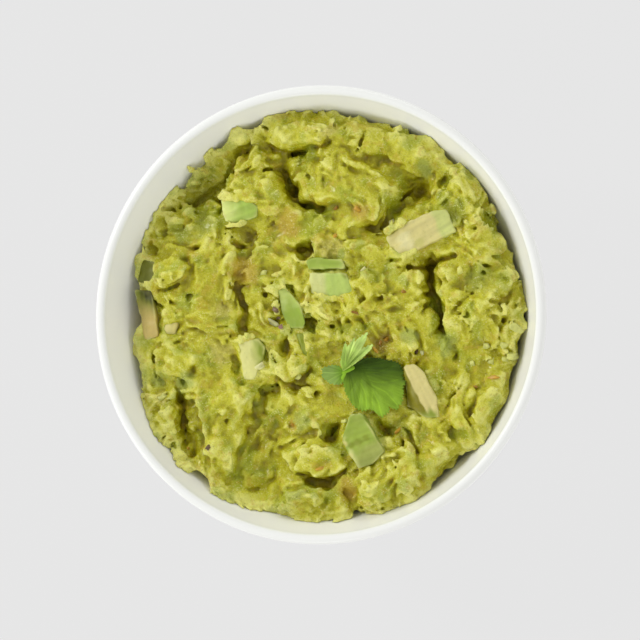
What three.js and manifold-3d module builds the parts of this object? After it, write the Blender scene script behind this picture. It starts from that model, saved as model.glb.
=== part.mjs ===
// Bowl of chunky guacamole, millimetres, +Z up, standing on Z = 0, front of the bowl towards -Y.
// Pieces: a glazed bowl, the mashed avocado that fills it, diced avocado pressed into the mash
// and one coriander leaf laid on top.
import * as THREE from 'three';
import { ConvexGeometry } from 'three/addons/geometries/ConvexGeometry.js';
import { mergeVertices } from 'three/addons/utils/BufferGeometryUtils.js';
import Module from 'manifold-3d';

const wasm = await Module();
wasm.setup();

// ---------------------------------------------------------------- sizes
const RIM_Z = 62;            // top of the lip
const MOUTH_Z = RIM_Z - 1.6; // level where the inside wall turns into the lip
const MOUTH_R = 71.4;        // inside radius at that level
const LIP_R = 75;            // widest radius, at the lip
const FLOOR_Z = 7.5;         // inside bottom of the bowl
const WALL = 3.2;            // wall thickness
const WALL_THICKER = 0.2;    // share added to it at the foot
const FOOT_R = 33.5;         // outside radius of the foot ring
const FOOT_IN_R = 29.2;      // inside radius of the foot ring
const UNDER_Z = 3.6;         // underside of the base inside the foot ring
const BOWL_SIDES = 60;
const WALL_STEPS = 11;       // steps up each side of the wall section
const OUTSIDE = [0.3, 0.96]; // stretch of the wall curve that the outside follows

const CLEAR = 0.35;          // mash to wall at the edge of the heap
const CLEAR_BELOW = 0.56;    // mash to wall below it
const POCKET = 0.3;          // mash to what is pressed into it
const EDGE_Z = 50;           // level where the mash meets the wall
const CROWN = 2.3;           // rise of the heap above its edge
const CROWN_R = 68;          // radius where that rise has run out
const MOUND_RISE = 1.2;      // strength of the mounds listed below
const TOP_Z = 56.3;          // little of the mash stands above this
const OVER_TOP = 0.15;       // share of what would stand above it that is left
const RINGS = 26;            // rings of vertices over the top of the mash
const SIDE_LEVELS = [36, 27.5, 20, 14, 10.5, FLOOR_Z + 1];   // rows down the side of the mash

const BLADE = 0.7;           // thickness of the leaf
const STEM_Z = 54.1;         // level of the joint of its three leaflets
const LEAF_LIFT = 0.6;       // least gap between blade and mash

const { degToRad, radToDeg, clamp, smoothstep } = THREE.MathUtils;

// ---------------------------------------------------------------- bowl
// Inside of the wall: one cubic curve from the middle of the floor to the lip, as radius and level.
const wall = new THREE.CubicBezierCurve(
  new THREE.Vector2(0, FLOOR_Z),
  new THREE.Vector2(47, FLOOR_Z),
  new THREE.Vector2(59.5, 24.5),
  new THREE.Vector2(MOUTH_R, MOUTH_Z),
);

function wallRadius(z) {             // inside radius at a level
  if (z >= MOUTH_Z) return MOUTH_R;
  let low = 0;
  let high = 1;
  for (let halving = 0; halving < 40; halving++) {
    const middle = (low + high) / 2;
    if (wall.getPoint(middle).y < z) low = middle;
    else high = middle;
  }
  return wall.getPoint(high).x;
}

function outsidePoint(share) {       // 0 at the foot, 1 under the lip
  const t = THREE.MathUtils.lerp(...OUTSIDE, share);
  const inside = wall.getPoint(t);
  const along = wall.getTangent(t);
  const thick = WALL * (1 + WALL_THICKER * (1 - share) ** 2);
  return new THREE.Vector2(inside.x + along.y * thick, inside.y - along.x * thick);
}

function bowlSection() {
  const at = (r, z) => new THREE.Vector2(r, z);
  const foot = [
    at(0, UNDER_Z), at(FOOT_IN_R - 2, UNDER_Z - 0.2), at(FOOT_IN_R - 0.4, UNDER_Z - 1.3),
    at(FOOT_IN_R + 0.5, 0), at(FOOT_R - 1, 0), at(FOOT_R, 0.9), at(FOOT_R - 0.7, 5),
  ];
  const outside = [];
  for (let i = 0; i <= WALL_STEPS; i++) outside.push(outsidePoint(i / WALL_STEPS));
  const lip = [                      // rounded, with a slight bead outside
    at(LIP_R, RIM_Z - 2.4), at(LIP_R - 0.15, RIM_Z - 1.2), at(LIP_R - 0.75, RIM_Z - 0.4),
    at(LIP_R - 1.7, RIM_Z), at(MOUTH_R + 0.9, RIM_Z - 0.15), at(MOUTH_R + 0.25, RIM_Z - 0.7),
    at(MOUTH_R, MOUTH_Z),
  ];
  const inside = [];
  for (let i = WALL_STEPS; i >= 1; i--) inside.push(wall.getPoint((i - 0.3) / (WALL_STEPS + 0.7)));
  return [...foot, ...outside, ...lip, ...inside, at(0, FLOOR_Z)];
}

function bowlGeometry() {
  return new THREE.LatheGeometry(bowlSection(), BOWL_SIDES).rotateX(Math.PI / 2);
}

// ---------------------------------------------------------------- surface of the mash
// Spoonfuls, shoulders and hollows: centre x, y, half lengths, turn of the long axis, height.
const MOUNDS = [
  [9.5, 43, 16, 9.5, -28, 2.7],      // shoulder behind the middle
  [-23.5, 43, 13, 7.2, -45, 3.2],    // crag at the back left
  [-5.5, 60.5, 12.5, 6, -8, 2.4],    // spoonful at the back wall
  [14.5, 58, 10, 6, -10, 1.9],
  [32, 54, 8, 6.5, -25, 2.0],
  [48.5, 41, 10.4, 8.7, 60, 3.2],    // smooth dome on the right
  [52, 24, 8, 7, 0, 2.5],
  [54, 4.5, 13, 12.5, 20, 2.2],      // broad shoulder on the right
  [14.5, 5, 18, 9.8, 0, 1.3],
  [-39.5, 9, 19, 13, 80, 2.4],       // broad dome on the left
  [-53.5, 15.5, 7.4, 5.2, 0, 1.4],
  [-51.5, -13, 10, 5.2, 0, 1.5],
  [-55, -36, 10, 6, -70, 1.4],
  [-56.5, -26, 4.6, 4, 0, 1.1],
  [-36, -29.5, 9.4, 6, 20, 1.6],
  [-32.5, -47.5, 9, 7, 0, 1.7],
  [21, -55.5, 13.4, 7.5, 15, 2.2],   // mound at the front wall
  [-7.5, -60.5, 10, 6, -5, 1.9],
  [-4, -46, 10, 5, 10, 1.9],         // layered spoonful
  [52.5, -31.5, 11, 8, 65, 1.9],
  [36, -49, 8.5, 7.4, 0, 1.4],
  [-12.5, -13, 9, 7.4, 80, 1.3],
  [-27, 58.5, 4.2, 3.4, 10, 3.4],    // buried die by the back wall
  [24.5, -11.8, 5, 2.4, -10, 1.2],   // roll of mash over the back of a die
  [-45, 42.5, 13.4, 9.8, 20, -2.8],  // low ground at the back left
  [-33, 53, 8, 4.5, 35, -2.4],
  [31, 42.5, 7.4, 5.2, 10, -2.6],    // basin beside the dome
  [-20, -44.5, 14.6, 10, 85, -1.9],  // smooth hollow at the front
  [-20, -57.5, 5.4, 3.3, 0, -1.4],
  [-13, -12, 3.9, 3, 80, -1.7],
  [-23, 50, 6, 3.5, 60, -1.2],
];
// Open furrows and standing folds left by the spoon: path, half width, height.
const FOLDS = [
  [[[-16, 50], [-7.5, 38], [-0.5, 34]], 2.1, -3.2],
  [[[-13, 54], [-1.5, 52.5]], 1.7, -2.4],
  [[[35.5, 17], [36, 6], [40, -4.5]], 2.8, -4.2],
  [[[17, 28.5], [28, 37.5], [33, 40]], 2.2, -2.4],
  [[[-25, 28], [-27.5, 12], [-27, -4.5]], 2.8, -1.8],
  [[[-49, -29.5], [-44.5, -46]], 2.4, -1.8],
  [[[-20, -25], [-5.5, -24.5]], 1.7, -1.8],
  [[[8, 51], [21, 45], [26, 39], [31, 37.5]], 1.3, 1.3],
  [[[-15, 65], [-10, 56]], 1.6, 1.1],
  [[[-30.5, 19.5], [-29.5, -4.5]], 1.7, 1.1],
  [[[-44, -23], [-41.5, -34.5], [-36, -44.5]], 1.4, 1.1],
  [[[-27.5, -27], [-32.5, -41]], 1.5, 0.9],
  [[[45, 6], [52.5, 4.5], [59, 6.5]], 1.3, 1.0],
  [[[49.5, -27.5], [59, -23.5]], 1.4, 0.9],
  [[[-7.5, -28], [-0.5, -38]], 1.5, 0.9],
];
// Air holes: centre x, y, half sizes, depth.
const HOLES = [
  [41.5, 43.5, 2.3, 2.3, 3.4], [2.5, -39, 3, 2.6, 4.4], [-1.5, -55, 4.7, 2.1, 4.2],
  [44, -12.5, 1.6, 2.6, 2.6], [19, 5.5, 1.9, 1.7, 2.4], [-4.5, -1, 2.3, 4.4, 2.6],
  [-45.5, 8, 2, 3.3, 1.8], [-28.5, -18, 1.9, 2.9, 2.2], [10, -59.5, 2.7, 3.6, 2.6],
  [-6, 22, 3.2, 2.3, 3.4], [-60, 23, 1.6, 2.4, 2.6],
];
// How the edge climbs or leaves the wall: middle and half width in degrees, rise.
const EDGES = [
  [115, 26, 4.2], [60, 6, 3.2], [92, 12, 1.2], [-132, 30, 4.6], [-95, 5, 1.6], [-67, 10, 1.2],
  [13, 14, -3.4], [29, 7, -6], [73, 8, -3.2], [-80, 5, -4], [-49, 9, -5.4], [-33, 10, -2.4],
  [-15, 12, -4.2], [-168, 8, -2.2], [126, 4, -3], [-139, 3, -2.4],
];
// Small lumps of avocado all over: how many, out to what radius, their half sizes and heights.
const LUMPS = { count: 170, within: 64, long: [2.4, 4.6], wide: [1.5, 3], high: [-0.99, 1.21], seed: 41 };

function seeded(seed) {
  let state = seed >>> 0;
  return () => {
    state = (state + 0x6D2B79F5) >>> 0;
    let t = state;
    t = Math.imul(t ^ (t >>> 15), t | 1);
    t ^= t + Math.imul(t ^ (t >>> 7), t | 61);
    return ((t ^ (t >>> 14)) >>> 0) / 4294967296;
  };
}

function scatterLumps({ count, within, long, wide, high, seed }) {
  const random = seeded(seed);
  const between = ([least, most]) => least + (most - least) * random();
  const list = [];
  for (let i = 0; i < count; i++) {
    const r = within * Math.sqrt(random());
    const a = 2 * Math.PI * random();
    const sizes = [between(long), between(wide), between([0, 180]), between(high)];
    list.push([r * Math.cos(a), r * Math.sin(a), ...sizes]);
  }
  return list;
}
const lumps = scatterLumps(LUMPS);

function bump(x, y, [cx, cy, long, wide, turn, high]) {
  const c = Math.cos(degToRad(turn));
  const s = Math.sin(degToRad(turn));
  const u = ((x - cx) * c + (y - cy) * s) / long;
  const v = ((y - cy) * c - (x - cx) * s) / wide;
  return high * Math.exp(-0.9 * (u * u + v * v) ** 1.25);
}

function pathDistance(x, y, path) {
  let best = Infinity;
  for (let i = 0; i + 1 < path.length; i++) {
    const [ax, ay] = path[i];
    const bx = path[i + 1][0] - ax;
    const by = path[i + 1][1] - ay;
    const t = clamp(((x - ax) * bx + (y - ay) * by) / (bx * bx + by * by), 0, 1);
    best = Math.min(best, Math.hypot(x - ax - bx * t, y - ay - by * t));
  }
  return best;
}

function edgeLevel(angle) {
  let z = EDGE_Z + 0.4 * Math.sin(9 * angle + 2);
  EDGES.forEach(([mid, half, rise]) => {
    const away = Math.abs(((radToDeg(angle) - mid) % 360 + 540) % 360 - 180);
    z += rise * smoothstep((1 - away / half) * 1.5, 0, 1);
  });
  return z;
}

function openSurface(x, y) {         // the heap away from the wall
  let z = EDGE_Z + CROWN * (1 - Math.min(1, Math.hypot(x, y) / CROWN_R) ** 2.4);
  MOUNDS.forEach((m) => { z += MOUND_RISE * bump(x, y, m); });
  FOLDS.forEach(([path, half, high]) => { z += high * Math.exp(-((pathDistance(x, y, path) / half) ** 2)); });
  HOLES.forEach(([cx, cy, a, b, deep]) => {
    z -= deep * Math.exp(-0.8 * (((x - cx) / a) ** 2 + ((y - cy) / b) ** 2) ** 2);
  });
  lumps.forEach((m) => { z += bump(x, y, m); });
  return Math.min(z, TOP_Z + OVER_TOP * (z - TOP_Z));
}

function mashTop(x, y) {             // a high edge leans on the wall further in than a low one
  const edge = edgeLevel(Math.atan2(y, x));
  const inward = wallRadius(edge) - CLEAR - Math.hypot(x, y);
  if (inward <= 0) return edge;
  const width = 2.2 + Math.max(1.5 * (edge - EDGE_Z), 0.35 * (EDGE_Z - edge));
  return edge + (openSurface(x, y) - edge) * smoothstep(0.15 + 0.85 * inward / width, 0, 1);
}

// ---------------------------------------------------------------- mash solid
function indexed(positions, triangles) {
  const geometry = new THREE.BufferGeometry();
  geometry.setAttribute('position', new THREE.Float32BufferAttribute(positions, 3));
  geometry.setIndex(triangles);
  return geometry;
}

// Two closed rows, both counter-clockwise, a above or inside b, are joined by one band of triangles.
function joinRows(triangles, a, b) {
  let i = 0;
  let j = 0;
  while (i < a.length || j < b.length) {
    const stepA = i < a.length ? (i + 1) / a.length : Infinity;
    const stepB = j < b.length ? (j + 1) / b.length : Infinity;
    if (stepB <= stepA) {
      triangles.push(a[i % a.length], b[j], b[(j + 1) % b.length]);
      j++;
    } else {
      triangles.push(a[i], b[j % b.length], a[(i + 1) % a.length]);
      i++;
    }
  }
}

function mashGeometry() {
  const positions = [];
  const triangles = [];
  const put = (x, y, z) => {
    positions.push(x, y, z);
    return positions.length / 3 - 1;
  };
  const circle = (count, place) => {
    const row = [];
    for (let i = 0; i < count; i++) {
      const a = 2 * Math.PI * i / count;
      const [r, z] = place(a);
      row.push(put(r * Math.cos(a), r * Math.sin(a), z ?? mashTop(r * Math.cos(a), r * Math.sin(a))));
    }
    return row;
  };
  const middle = put(0, 0, mashTop(0, 0));
  let row = null;
  for (let k = 1; k <= RINGS; k++) {
    const next = circle(6 * k, (a) => {
      const edge = edgeLevel(a);
      return [(wallRadius(edge) - CLEAR) * k / RINGS, k === RINGS ? edge : undefined];
    });
    if (row) joinRows(triangles, row, next);
    else next.forEach((q, i) => triangles.push(middle, q, next[(i + 1) % next.length]));
    row = next;
  }
  SIDE_LEVELS.forEach((z) => {       // side and bottom follow the inside of the bowl
    const next = circle(BOWL_SIDES, () => [wallRadius(z) - CLEAR_BELOW, z]);
    joinRows(triangles, row, next);
    row = next;
  });
  const bottom = put(0, 0, FLOOR_Z + 0.5);
  row.forEach((q, i) => triangles.push(bottom, row[(i + 1) % row.length], q));
  return indexed(positions, triangles);
}

// ---------------------------------------------------------------- diced avocado
// Each die: corners of its upper face in order, how deep it goes, where its foot leans, the size
// of its foot against its top, its bevel and its colour.
const DICE = [
  { name: 'avocado_die_back_left', deep: 9, lean: [1, 1], colour: 0xb6c96e,
    top: [[-34.4, 38.8, 54.6], [-32.6, 31, 54.1], [-27, 30.8, 54.4], [-21.6, 32.4, 55.0],
      [-20.7, 35.9, 55.6], [-24, 38.4, 55.9]] },
  { name: 'avocado_die_centre_back', deep: 8, lean: [0, 0.6], colour: 0xb0c06c,
    top: [[-5.3, 18.2, 54.6], [-4.4, 14.9, 54.4], [8.2, 14.9, 54.6], [7.6, 18.2, 54.9], [-2, 19, 54.8]] },
  { name: 'avocado_die_centre_front', deep: 9, lean: [0, 0.8], colour: 0xb9cd78,
    top: [[-3.9, 13.9, 55.0], [-3.5, 7.1, 54.3], [3.2, 5.5, 54.2], [11.7, 6.8, 54.5], [8.6, 13.7, 55.3]] },
  { name: 'avocado_strip_centre_left', deep: 8, lean: [-1.2, 0], colour: 0xaebf62,
    top: [[-15.2, 8.4, 53.7], [-14.2, 3.8, 53.8], [-11.2, -4.4, 54.2], [-5.5, -4.6, 55.0],
      [-4.6, -2.7, 55.2], [-7, 4, 55.1], [-12.6, 10.5, 54.2]] },
  { name: 'avocado_sliver_centre_left', deep: 5, bevel: 0.6, colour: 0xc9cf86,
    top: [[-9.3, -5.4, 53.5], [-7.2, -12, 53.3], [-4.2, -15.9, 53.1], [-5.0, -10, 53.7],
      [-5.7, -5.5, 53.9]] },
  { name: 'avocado_die_left', deep: 10, lean: [0.8, 0.6], colour: 0xd2d186,
    top: [[-28.5, -8.7, 53.9], [-26.3, -21.4, 53.2], [-22.8, -21.2, 53.7], [-19.8, -15.6, 54.6],
      [-18.5, -10.4, 54.9], [-21.4, -7.5, 54.6]] },
  { name: 'avocado_chunk_back_right', deep: 9.5, lean: [0.5, -0.6], colour: 0xd5ce80,
    top: [[21.4, 25.2, 54.6], [22.7, 21.9, 54.2], [26.9, 18.6, 53.9], [34.9, 23.7, 54.4],
      [45.3, 26.8, 54.6], [41.8, 34.2, 55.7], [34, 32.5, 55.9], [25.3, 28, 55.5]] },
  { name: 'avocado_strip_left_wall', deep: 9, lean: [1.5, 0], foot: 0.8, colour: 0x8f8e44,
    top: [[-64.7, 9.6, 50.6], [-61.4, -7.8, 50.2], [-55.6, -6.7, 52.4], [-58.1, 8.9, 52.6]] },
  { name: 'avocado_die_left_wall', deep: 9, lean: [1.5, 0], foot: 0.8, colour: 0x8b8f3c,
    top: [[-64.1, 11.6, 50.4], [-58.9, 10.4, 52.5], [-56.6, 12.4, 52.9], [-57.1, 18.5, 52.7],
      [-61.8, 20.2, 50.8]] },
  { name: 'avocado_bit_left_wall', deep: 6, bevel: 0.7, colour: 0xb59a5c,
    top: [[-54.4, -1.2, 52.6], [-53.5, -6.3, 52.3], [-49.4, -6.3, 52.9], [-48.7, -1.8, 53.2]] },
  { name: 'avocado_chunk_right', deep: 9.5, lean: [-0.8, 0.4], colour: 0xb7ab68,
    top: [[27.2, -16.8, 55.2], [28.1, -30.4, 53.2], [34.5, -34, 53.4], [39.2, -33.8, 53.9],
      [38.7, -28.1, 54.5], [34.4, -18.8, 55.7], [31.2, -16.2, 55.8]] },
  { name: 'avocado_die_front', deep: 10, lean: [0.8, 0.6], colour: 0xa6b858,
    top: [[9.9, -32.4, 55.3], [8.4, -35.8, 55.0], [6.6, -41.4, 54.4], [12.2, -50.6, 53.8],
      [17.2, -49.1, 54.3], [21.5, -44.9, 55.0], [13.9, -32.3, 55.6]] },
];
const DICE_UNDER_LEAF = DICE.slice(-2);
const DIE_TO_WALL = 0.9;             // least gap between the foot of a die and the bowl
const WIDEST_BEVEL = 0.3;            // as a share of the edge that it is cut from

function lowerFace({ top, deep, lean = [0, 0], foot = 0.86 }) {
  const cx = top.reduce((sum, p) => sum + p[0], 0) / top.length;
  const cy = top.reduce((sum, p) => sum + p[1], 0) / top.length;
  return top.map(([x, y, z]) => {
    const lx = cx + (x - cx) * foot + lean[0];
    const ly = cy + (y - cy) * foot + lean[1];
    const lz = z - deep;
    const most = wallRadius(Math.max(lz, FLOOR_Z + 1)) - DIE_TO_WALL;
    const inward = Math.min(1, most / Math.hypot(lx, ly));
    return new THREE.Vector3(lx * inward, ly * inward, lz);
  });
}

function dieCorners(die) {
  const top = die.top.map((p) => new THREE.Vector3(...p));
  return [...top, ...lowerFace(die)];
}

function bevelledCorners(die) {      // three points round each corner, a little way down its edges
  const corners = dieCorners(die);
  const n = die.top.length;
  const bevel = die.bevel ?? 0.9;
  const away = (from, to) => from.clone().lerp(to, Math.min(bevel / from.distanceTo(to), WIDEST_BEVEL));
  return corners.flatMap((corner, i) => {
    const face = i < n ? 0 : n;
    const next = corners[face + (i + 1) % n];
    const last = corners[face + (i + n - 1) % n];
    const other = corners[(i + n) % (2 * n)];
    return [away(corner, next), away(corner, last), away(corner, other)];
  });
}

function grown(points, by) {         // each point gives the corners of a small box round it
  const signs = [-by, by];
  return points.flatMap((p) => signs.flatMap((x) => signs.flatMap((y) => signs.map(
    (z) => new THREE.Vector3(p.x + x, p.y + y, p.z + z),
  ))));
}

function pocketFor(die) {
  return new ConvexGeometry(grown(dieCorners(die), POCKET));
}

function dieGeometry(die) {
  const geometry = new ConvexGeometry(bevelledCorners(die));
  geometry.deleteAttribute('normal');
  return mergeVertices(geometry, 1e-4);
}

// ---------------------------------------------------------------- coriander leaf
// One stem with three leaflets. A leaflet is a fan about its own foot: the lobes of its outline
// (direction in degrees, half width, reach) and how its blade rises from foot to tip.
const LEAFLETS = [
  { foot: [9.6, -17.4], from: 22, to: -128, rays: 42, rows: 4, base: 0, rise: 0.1, cup: 0.9, tooth: 0.45,
    lobes: [[8, 17, 11.5], [-9, 18, 17], [-44, 20, 21], [-64, 11, 20.4], [-87, 17, 14.4], [-112, 17, 9.4]] },
  { foot: [7.4, -18.6], from: 112, to: 24, rays: 26, rows: 3, base: 0.5, rise: 2.7, cup: 0.5, tooth: 0.3,
    lobes: [[40, 9, 13.6], [57, 9, 15.4], [77, 13, 12.4], [96, 14, 10.2]] },
  { foot: [8.0, -18.8], from: 268, to: 148, rays: 22, rows: 3, base: 0, rise: -0.4, cup: 0.4, tooth: 0.25,
    lobes: [[172, 26, 8.4], [203, 24, 7.8], [232, 22, 6.6], [256, 18, 5.2]] },
];
const NOTCH_R = 3;                   // reach of the blade between its lobes
const TEETH = 42;                    // teeth to a full turn
const FOOT_BACK = 1.1;               // blunt wedge behind the foot of a leaflet
// Stems: end, start, radius.
const STEMS = [
  [[8.4, -18.9, STEM_Z - 0.15], [7.0, -21.2, STEM_Z - 0.4], 0.75],
  [[7.2, -19.3, STEM_Z + 0.1], [11.2, -17.2, STEM_Z + 0.1], 0.7],
];
const STEM_SIDES = 8;

function reach(leaflet, deg) {
  let r = NOTCH_R;
  leaflet.lobes.forEach(([mid, half, long]) => {
    const d = Math.abs(deg - mid) / half;
    if (d < 1.45) r = Math.max(r, long * Math.cos(d * 1.08) ** 0.42);
  });
  return r + leaflet.tooth * Math.sin(degToRad(deg * TEETH));
}

function leafletLevel(leaflet, x, y, share, deg) {
  const side = (2 * deg - leaflet.from - leaflet.to) / Math.abs(leaflet.from - leaflet.to);
  const lifted = leaflet.base + leaflet.rise * share ** 1.2;
  const cupped = leaflet.cup * (0.6 * Math.cos(side * 5.2) - 0.5) * share;
  const drooped = 0.5 * share * share;
  return Math.max(STEM_Z + lifted + cupped - drooped, mashTop(x, y) + BLADE / 2 + LEAF_LIFT);
}

function leafletGeometry(leaflet, grow = 0) {
  const { foot, from, to, rays, rows } = leaflet;
  const positions = [];
  const triangles = [];
  const half = BLADE / 2 + grow;
  const middle = (from + to) / 2;
  const back = FOOT_BACK + grow;
  const wedge = [foot[0] - back * Math.cos(degToRad(middle)), foot[1] - back * Math.sin(degToRad(middle))];
  const wedgeZ = leafletLevel(leaflet, foot[0], foot[1], 0, middle);

  // a face is one point at the foot, then rows of rays + 1 points each
  const faces = [half, -half].map((dz) => {
    const face = [[positions.length / 3]];
    positions.push(...wedge, wedgeZ + dz);
    for (let j = 1; j <= rows; j++) {
      const row = [];
      for (let i = 0; i <= rays; i++) {
        const deg = from + (to - from) * i / rays;
        const share = j / rows;
        const r = (reach(leaflet, deg) + grow) * share;
        const x = foot[0] + r * Math.cos(degToRad(deg));
        const y = foot[1] + r * Math.sin(degToRad(deg));
        row.push(positions.length / 3);
        positions.push(x, y, leafletLevel(leaflet, x, y, share, deg) + dz);
      }
      face.push(row);
    }
    return face;
  });
  faces.forEach((face, side) => {    // both faces split alike, the lower one turned over
    const add = (a, b, c) => (side === 0 ? triangles.push(a, c, b) : triangles.push(a, b, c));
    for (let i = 0; i < rays; i++) {
      add(face[0][0], face[1][i], face[1][i + 1]);
      for (let j = 1; j < rows; j++) {
        add(face[j][i], face[j + 1][i], face[j + 1][i + 1]);
        add(face[j][i], face[j + 1][i + 1], face[j][i + 1]);
      }
    }
  });
  const rimOf = (face) => [
    face[0][0],
    ...face.slice(1).map((row) => row[0]),
    ...face[rows].slice(1),
    ...face.slice(1, rows).map((row) => row[rays]).reverse(),
  ];
  const [upper, lower] = faces.map(rimOf);
  upper.forEach((q, i) => {
    const j = (i + 1) % upper.length;
    triangles.push(q, upper[j], lower[j], q, lower[j], lower[i]);
  });
  return indexed(positions, triangles);
}

function stemGeometry([end, start, r]) {
  const a = new THREE.Vector3(...end);
  const b = new THREE.Vector3(...start);
  const along = b.clone().sub(a);
  const upright = new THREE.Vector3(0, 1, 0);
  const geometry = new THREE.CylinderGeometry(r * 0.85, r, along.length(), STEM_SIDES, 1);
  geometry.applyQuaternion(new THREE.Quaternion().setFromUnitVectors(upright, along.normalize()));
  geometry.translate(...a.add(b).multiplyScalar(0.5).toArray());
  return geometry;
}

// ---------------------------------------------------------------- cutting and joining
function solid(geometry) {
  const plain = geometry.clone();
  plain.deleteAttribute('normal');
  plain.deleteAttribute('uv');
  const merged = mergeVertices(plain, 1e-5);
  return new wasm.Manifold(new wasm.Mesh({
    numProp: 3,
    vertProperties: new Float32Array(merged.attributes.position.array),
    triVerts: new Uint32Array(merged.index.array),
  }));
}

function shape(manifold) {
  const { vertProperties, triVerts } = manifold.getMesh();
  return indexed(Array.from(vertProperties), Array.from(triVerts));
}

function without(body, cutters) {
  return cutters.reduce((left, cutter) => left.subtract(solid(cutter)), body);
}

function leafGeometry() {
  const parts = [...LEAFLETS.map((l) => leafletGeometry(l)), ...STEMS.map(stemGeometry)].map(solid);
  const joined = parts.reduce((a, b) => a.add(b));
  return shape(without(joined, DICE_UNDER_LEAF.map(pocketFor)));
}

function filledGeometry() {
  const cutters = [
    ...LEAFLETS.map((l) => leafletGeometry(l, POCKET)),
    ...DICE.map(pocketFor),
    ...STEMS.map(stemGeometry),
  ];
  return shape(without(solid(mashGeometry()), cutters));
}

// ---------------------------------------------------------------- the whole
function piece(name, geometry, color, roughness) {
  geometry.computeVertexNormals();
  const mesh = new THREE.Mesh(geometry, new THREE.MeshStandardMaterial({ color, roughness, metalness: 0 }));
  mesh.name = name;
  return mesh;
}

const group = new THREE.Group();
group.name = 'guacamole_bowl';
group.add(piece('bowl', bowlGeometry(), 0xeeefe9, 0.22));
group.add(piece('guacamole', filledGeometry(), 0xa0a03e, 0.5));
DICE.forEach((die) => group.add(piece(die.name, dieGeometry(die), die.colour, 0.4)));
group.add(piece('coriander_leaf', leafGeometry(), 0x5f8a22, 0.45));

export default group;
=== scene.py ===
import math

import bpy
import numpy as np
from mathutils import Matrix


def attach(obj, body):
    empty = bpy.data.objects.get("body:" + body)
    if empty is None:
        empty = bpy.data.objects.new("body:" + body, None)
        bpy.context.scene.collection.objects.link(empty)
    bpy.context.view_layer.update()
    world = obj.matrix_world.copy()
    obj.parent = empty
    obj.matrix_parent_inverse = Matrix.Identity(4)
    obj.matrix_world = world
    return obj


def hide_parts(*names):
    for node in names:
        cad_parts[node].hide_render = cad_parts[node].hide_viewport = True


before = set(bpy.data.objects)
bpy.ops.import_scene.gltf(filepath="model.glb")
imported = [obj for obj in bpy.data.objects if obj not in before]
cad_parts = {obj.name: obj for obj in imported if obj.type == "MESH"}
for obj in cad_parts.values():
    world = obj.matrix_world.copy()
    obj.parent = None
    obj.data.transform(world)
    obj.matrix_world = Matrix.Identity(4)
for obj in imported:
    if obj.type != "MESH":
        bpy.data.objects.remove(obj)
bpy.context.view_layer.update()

import openvdb
from mathutils import Matrix, Vector
from mathutils.bvhtree import BVHTree

# ---------------------------------------------------------------- bowl
# One thrown bowl of white glazed stoneware. The wall sweeps up from a flat floor to a slightly
# beaded lip. Glaze covers it inside and out, and only the foot ring is wiped back to bare clay.
MM = 0.001                    # all sizes below are millimetres
RIM_Z = 62.0                  # top of the lip
MOUTH_Z = RIM_Z - 1.6         # level where the inside wall turns into the lip
MOUTH_R = 71.4                # inside radius at that level
LIP_R = 75.0                  # widest radius, at the lip
FLOOR_Z = 7.5                 # inside bottom
WALL = 3.2                    # wall thickness
WALL_THICKER = 0.2            # share added to it at the foot
FOOT_R = 33.5                 # outside radius of the foot ring
FOOT_IN_R = 29.2              # inside radius of the foot ring
UNDER_Z = 3.6                 # underside of the base inside the foot ring
WALL_PULLS = [(47, FLOOR_Z), (59.5, 24.5)]  # what the wall's curve bends towards on its way up
OUTSIDE = (0.3, 0.96)         # stretch of the wall curve that the outside follows
BARE_Z = 0.8                  # the foot is bare clay below this level
LIP_SHADE = (3.0, 0.8)         # below the rim, where the painted shade on the lip starts and where it is full
BOWL_SIDES = 240
WALL_STEPS = 44


def wall_point(t):
    """Inside of the wall, a cubic curve from the middle of the floor to the lip: radius, level."""
    ends = np.array([(0, FLOOR_Z), *WALL_PULLS, (MOUTH_R, MOUTH_Z)])
    t = np.asarray(t, float)[:, None]
    m = 1 - t
    return m**3 * ends[0] + 3 * m * m * t * ends[1] + 3 * m * t * t * ends[2] + t**3 * ends[3]


def wall_radius(level):
    """Inside radius of the bowl at a level."""
    curve = wall_point(np.linspace(0, 1, 400))
    return np.interp(level, curve[:, 1], curve[:, 0])


def outside_points(steps):
    """Outside of the wall, from the foot to the lip, thicker towards the foot."""
    share = np.linspace(0, 1, steps)
    t = OUTSIDE[0] + (OUTSIDE[1] - OUTSIDE[0]) * share
    along = wall_point(t + 1e-4) - wall_point(t - 1e-4)
    along /= np.linalg.norm(along, axis=1)[:, None]
    thick = WALL * (1 + WALL_THICKER * (1 - share) ** 2)
    return wall_point(t) + np.stack([along[:, 1], -along[:, 0]], 1) * thick[:, None]


def soften(points, rounds):
    """Cuts the corners of an open line, keeping its ends."""
    points = np.asarray(points, float)
    for _ in range(rounds):
        a, b = points[:-1], points[1:]
        closer = np.stack([0.75 * a + 0.25 * b, 0.25 * a + 0.75 * b], 1).reshape(-1, 2)
        points = np.concatenate([points[:1], closer, points[-1:]])
    return points


def new_object(name, points, faces):
    """A smooth mesh object from points in millimetres."""
    mesh = bpy.data.meshes.new(name)
    mesh.from_pydata((np.asarray(points) * MM).tolist(), [], [list(map(int, f)) for f in faces])
    mesh.update()
    mesh.shade_smooth()
    piece = bpy.data.objects.new(name, mesh)
    bpy.context.scene.collection.objects.link(piece)
    return piece


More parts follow.
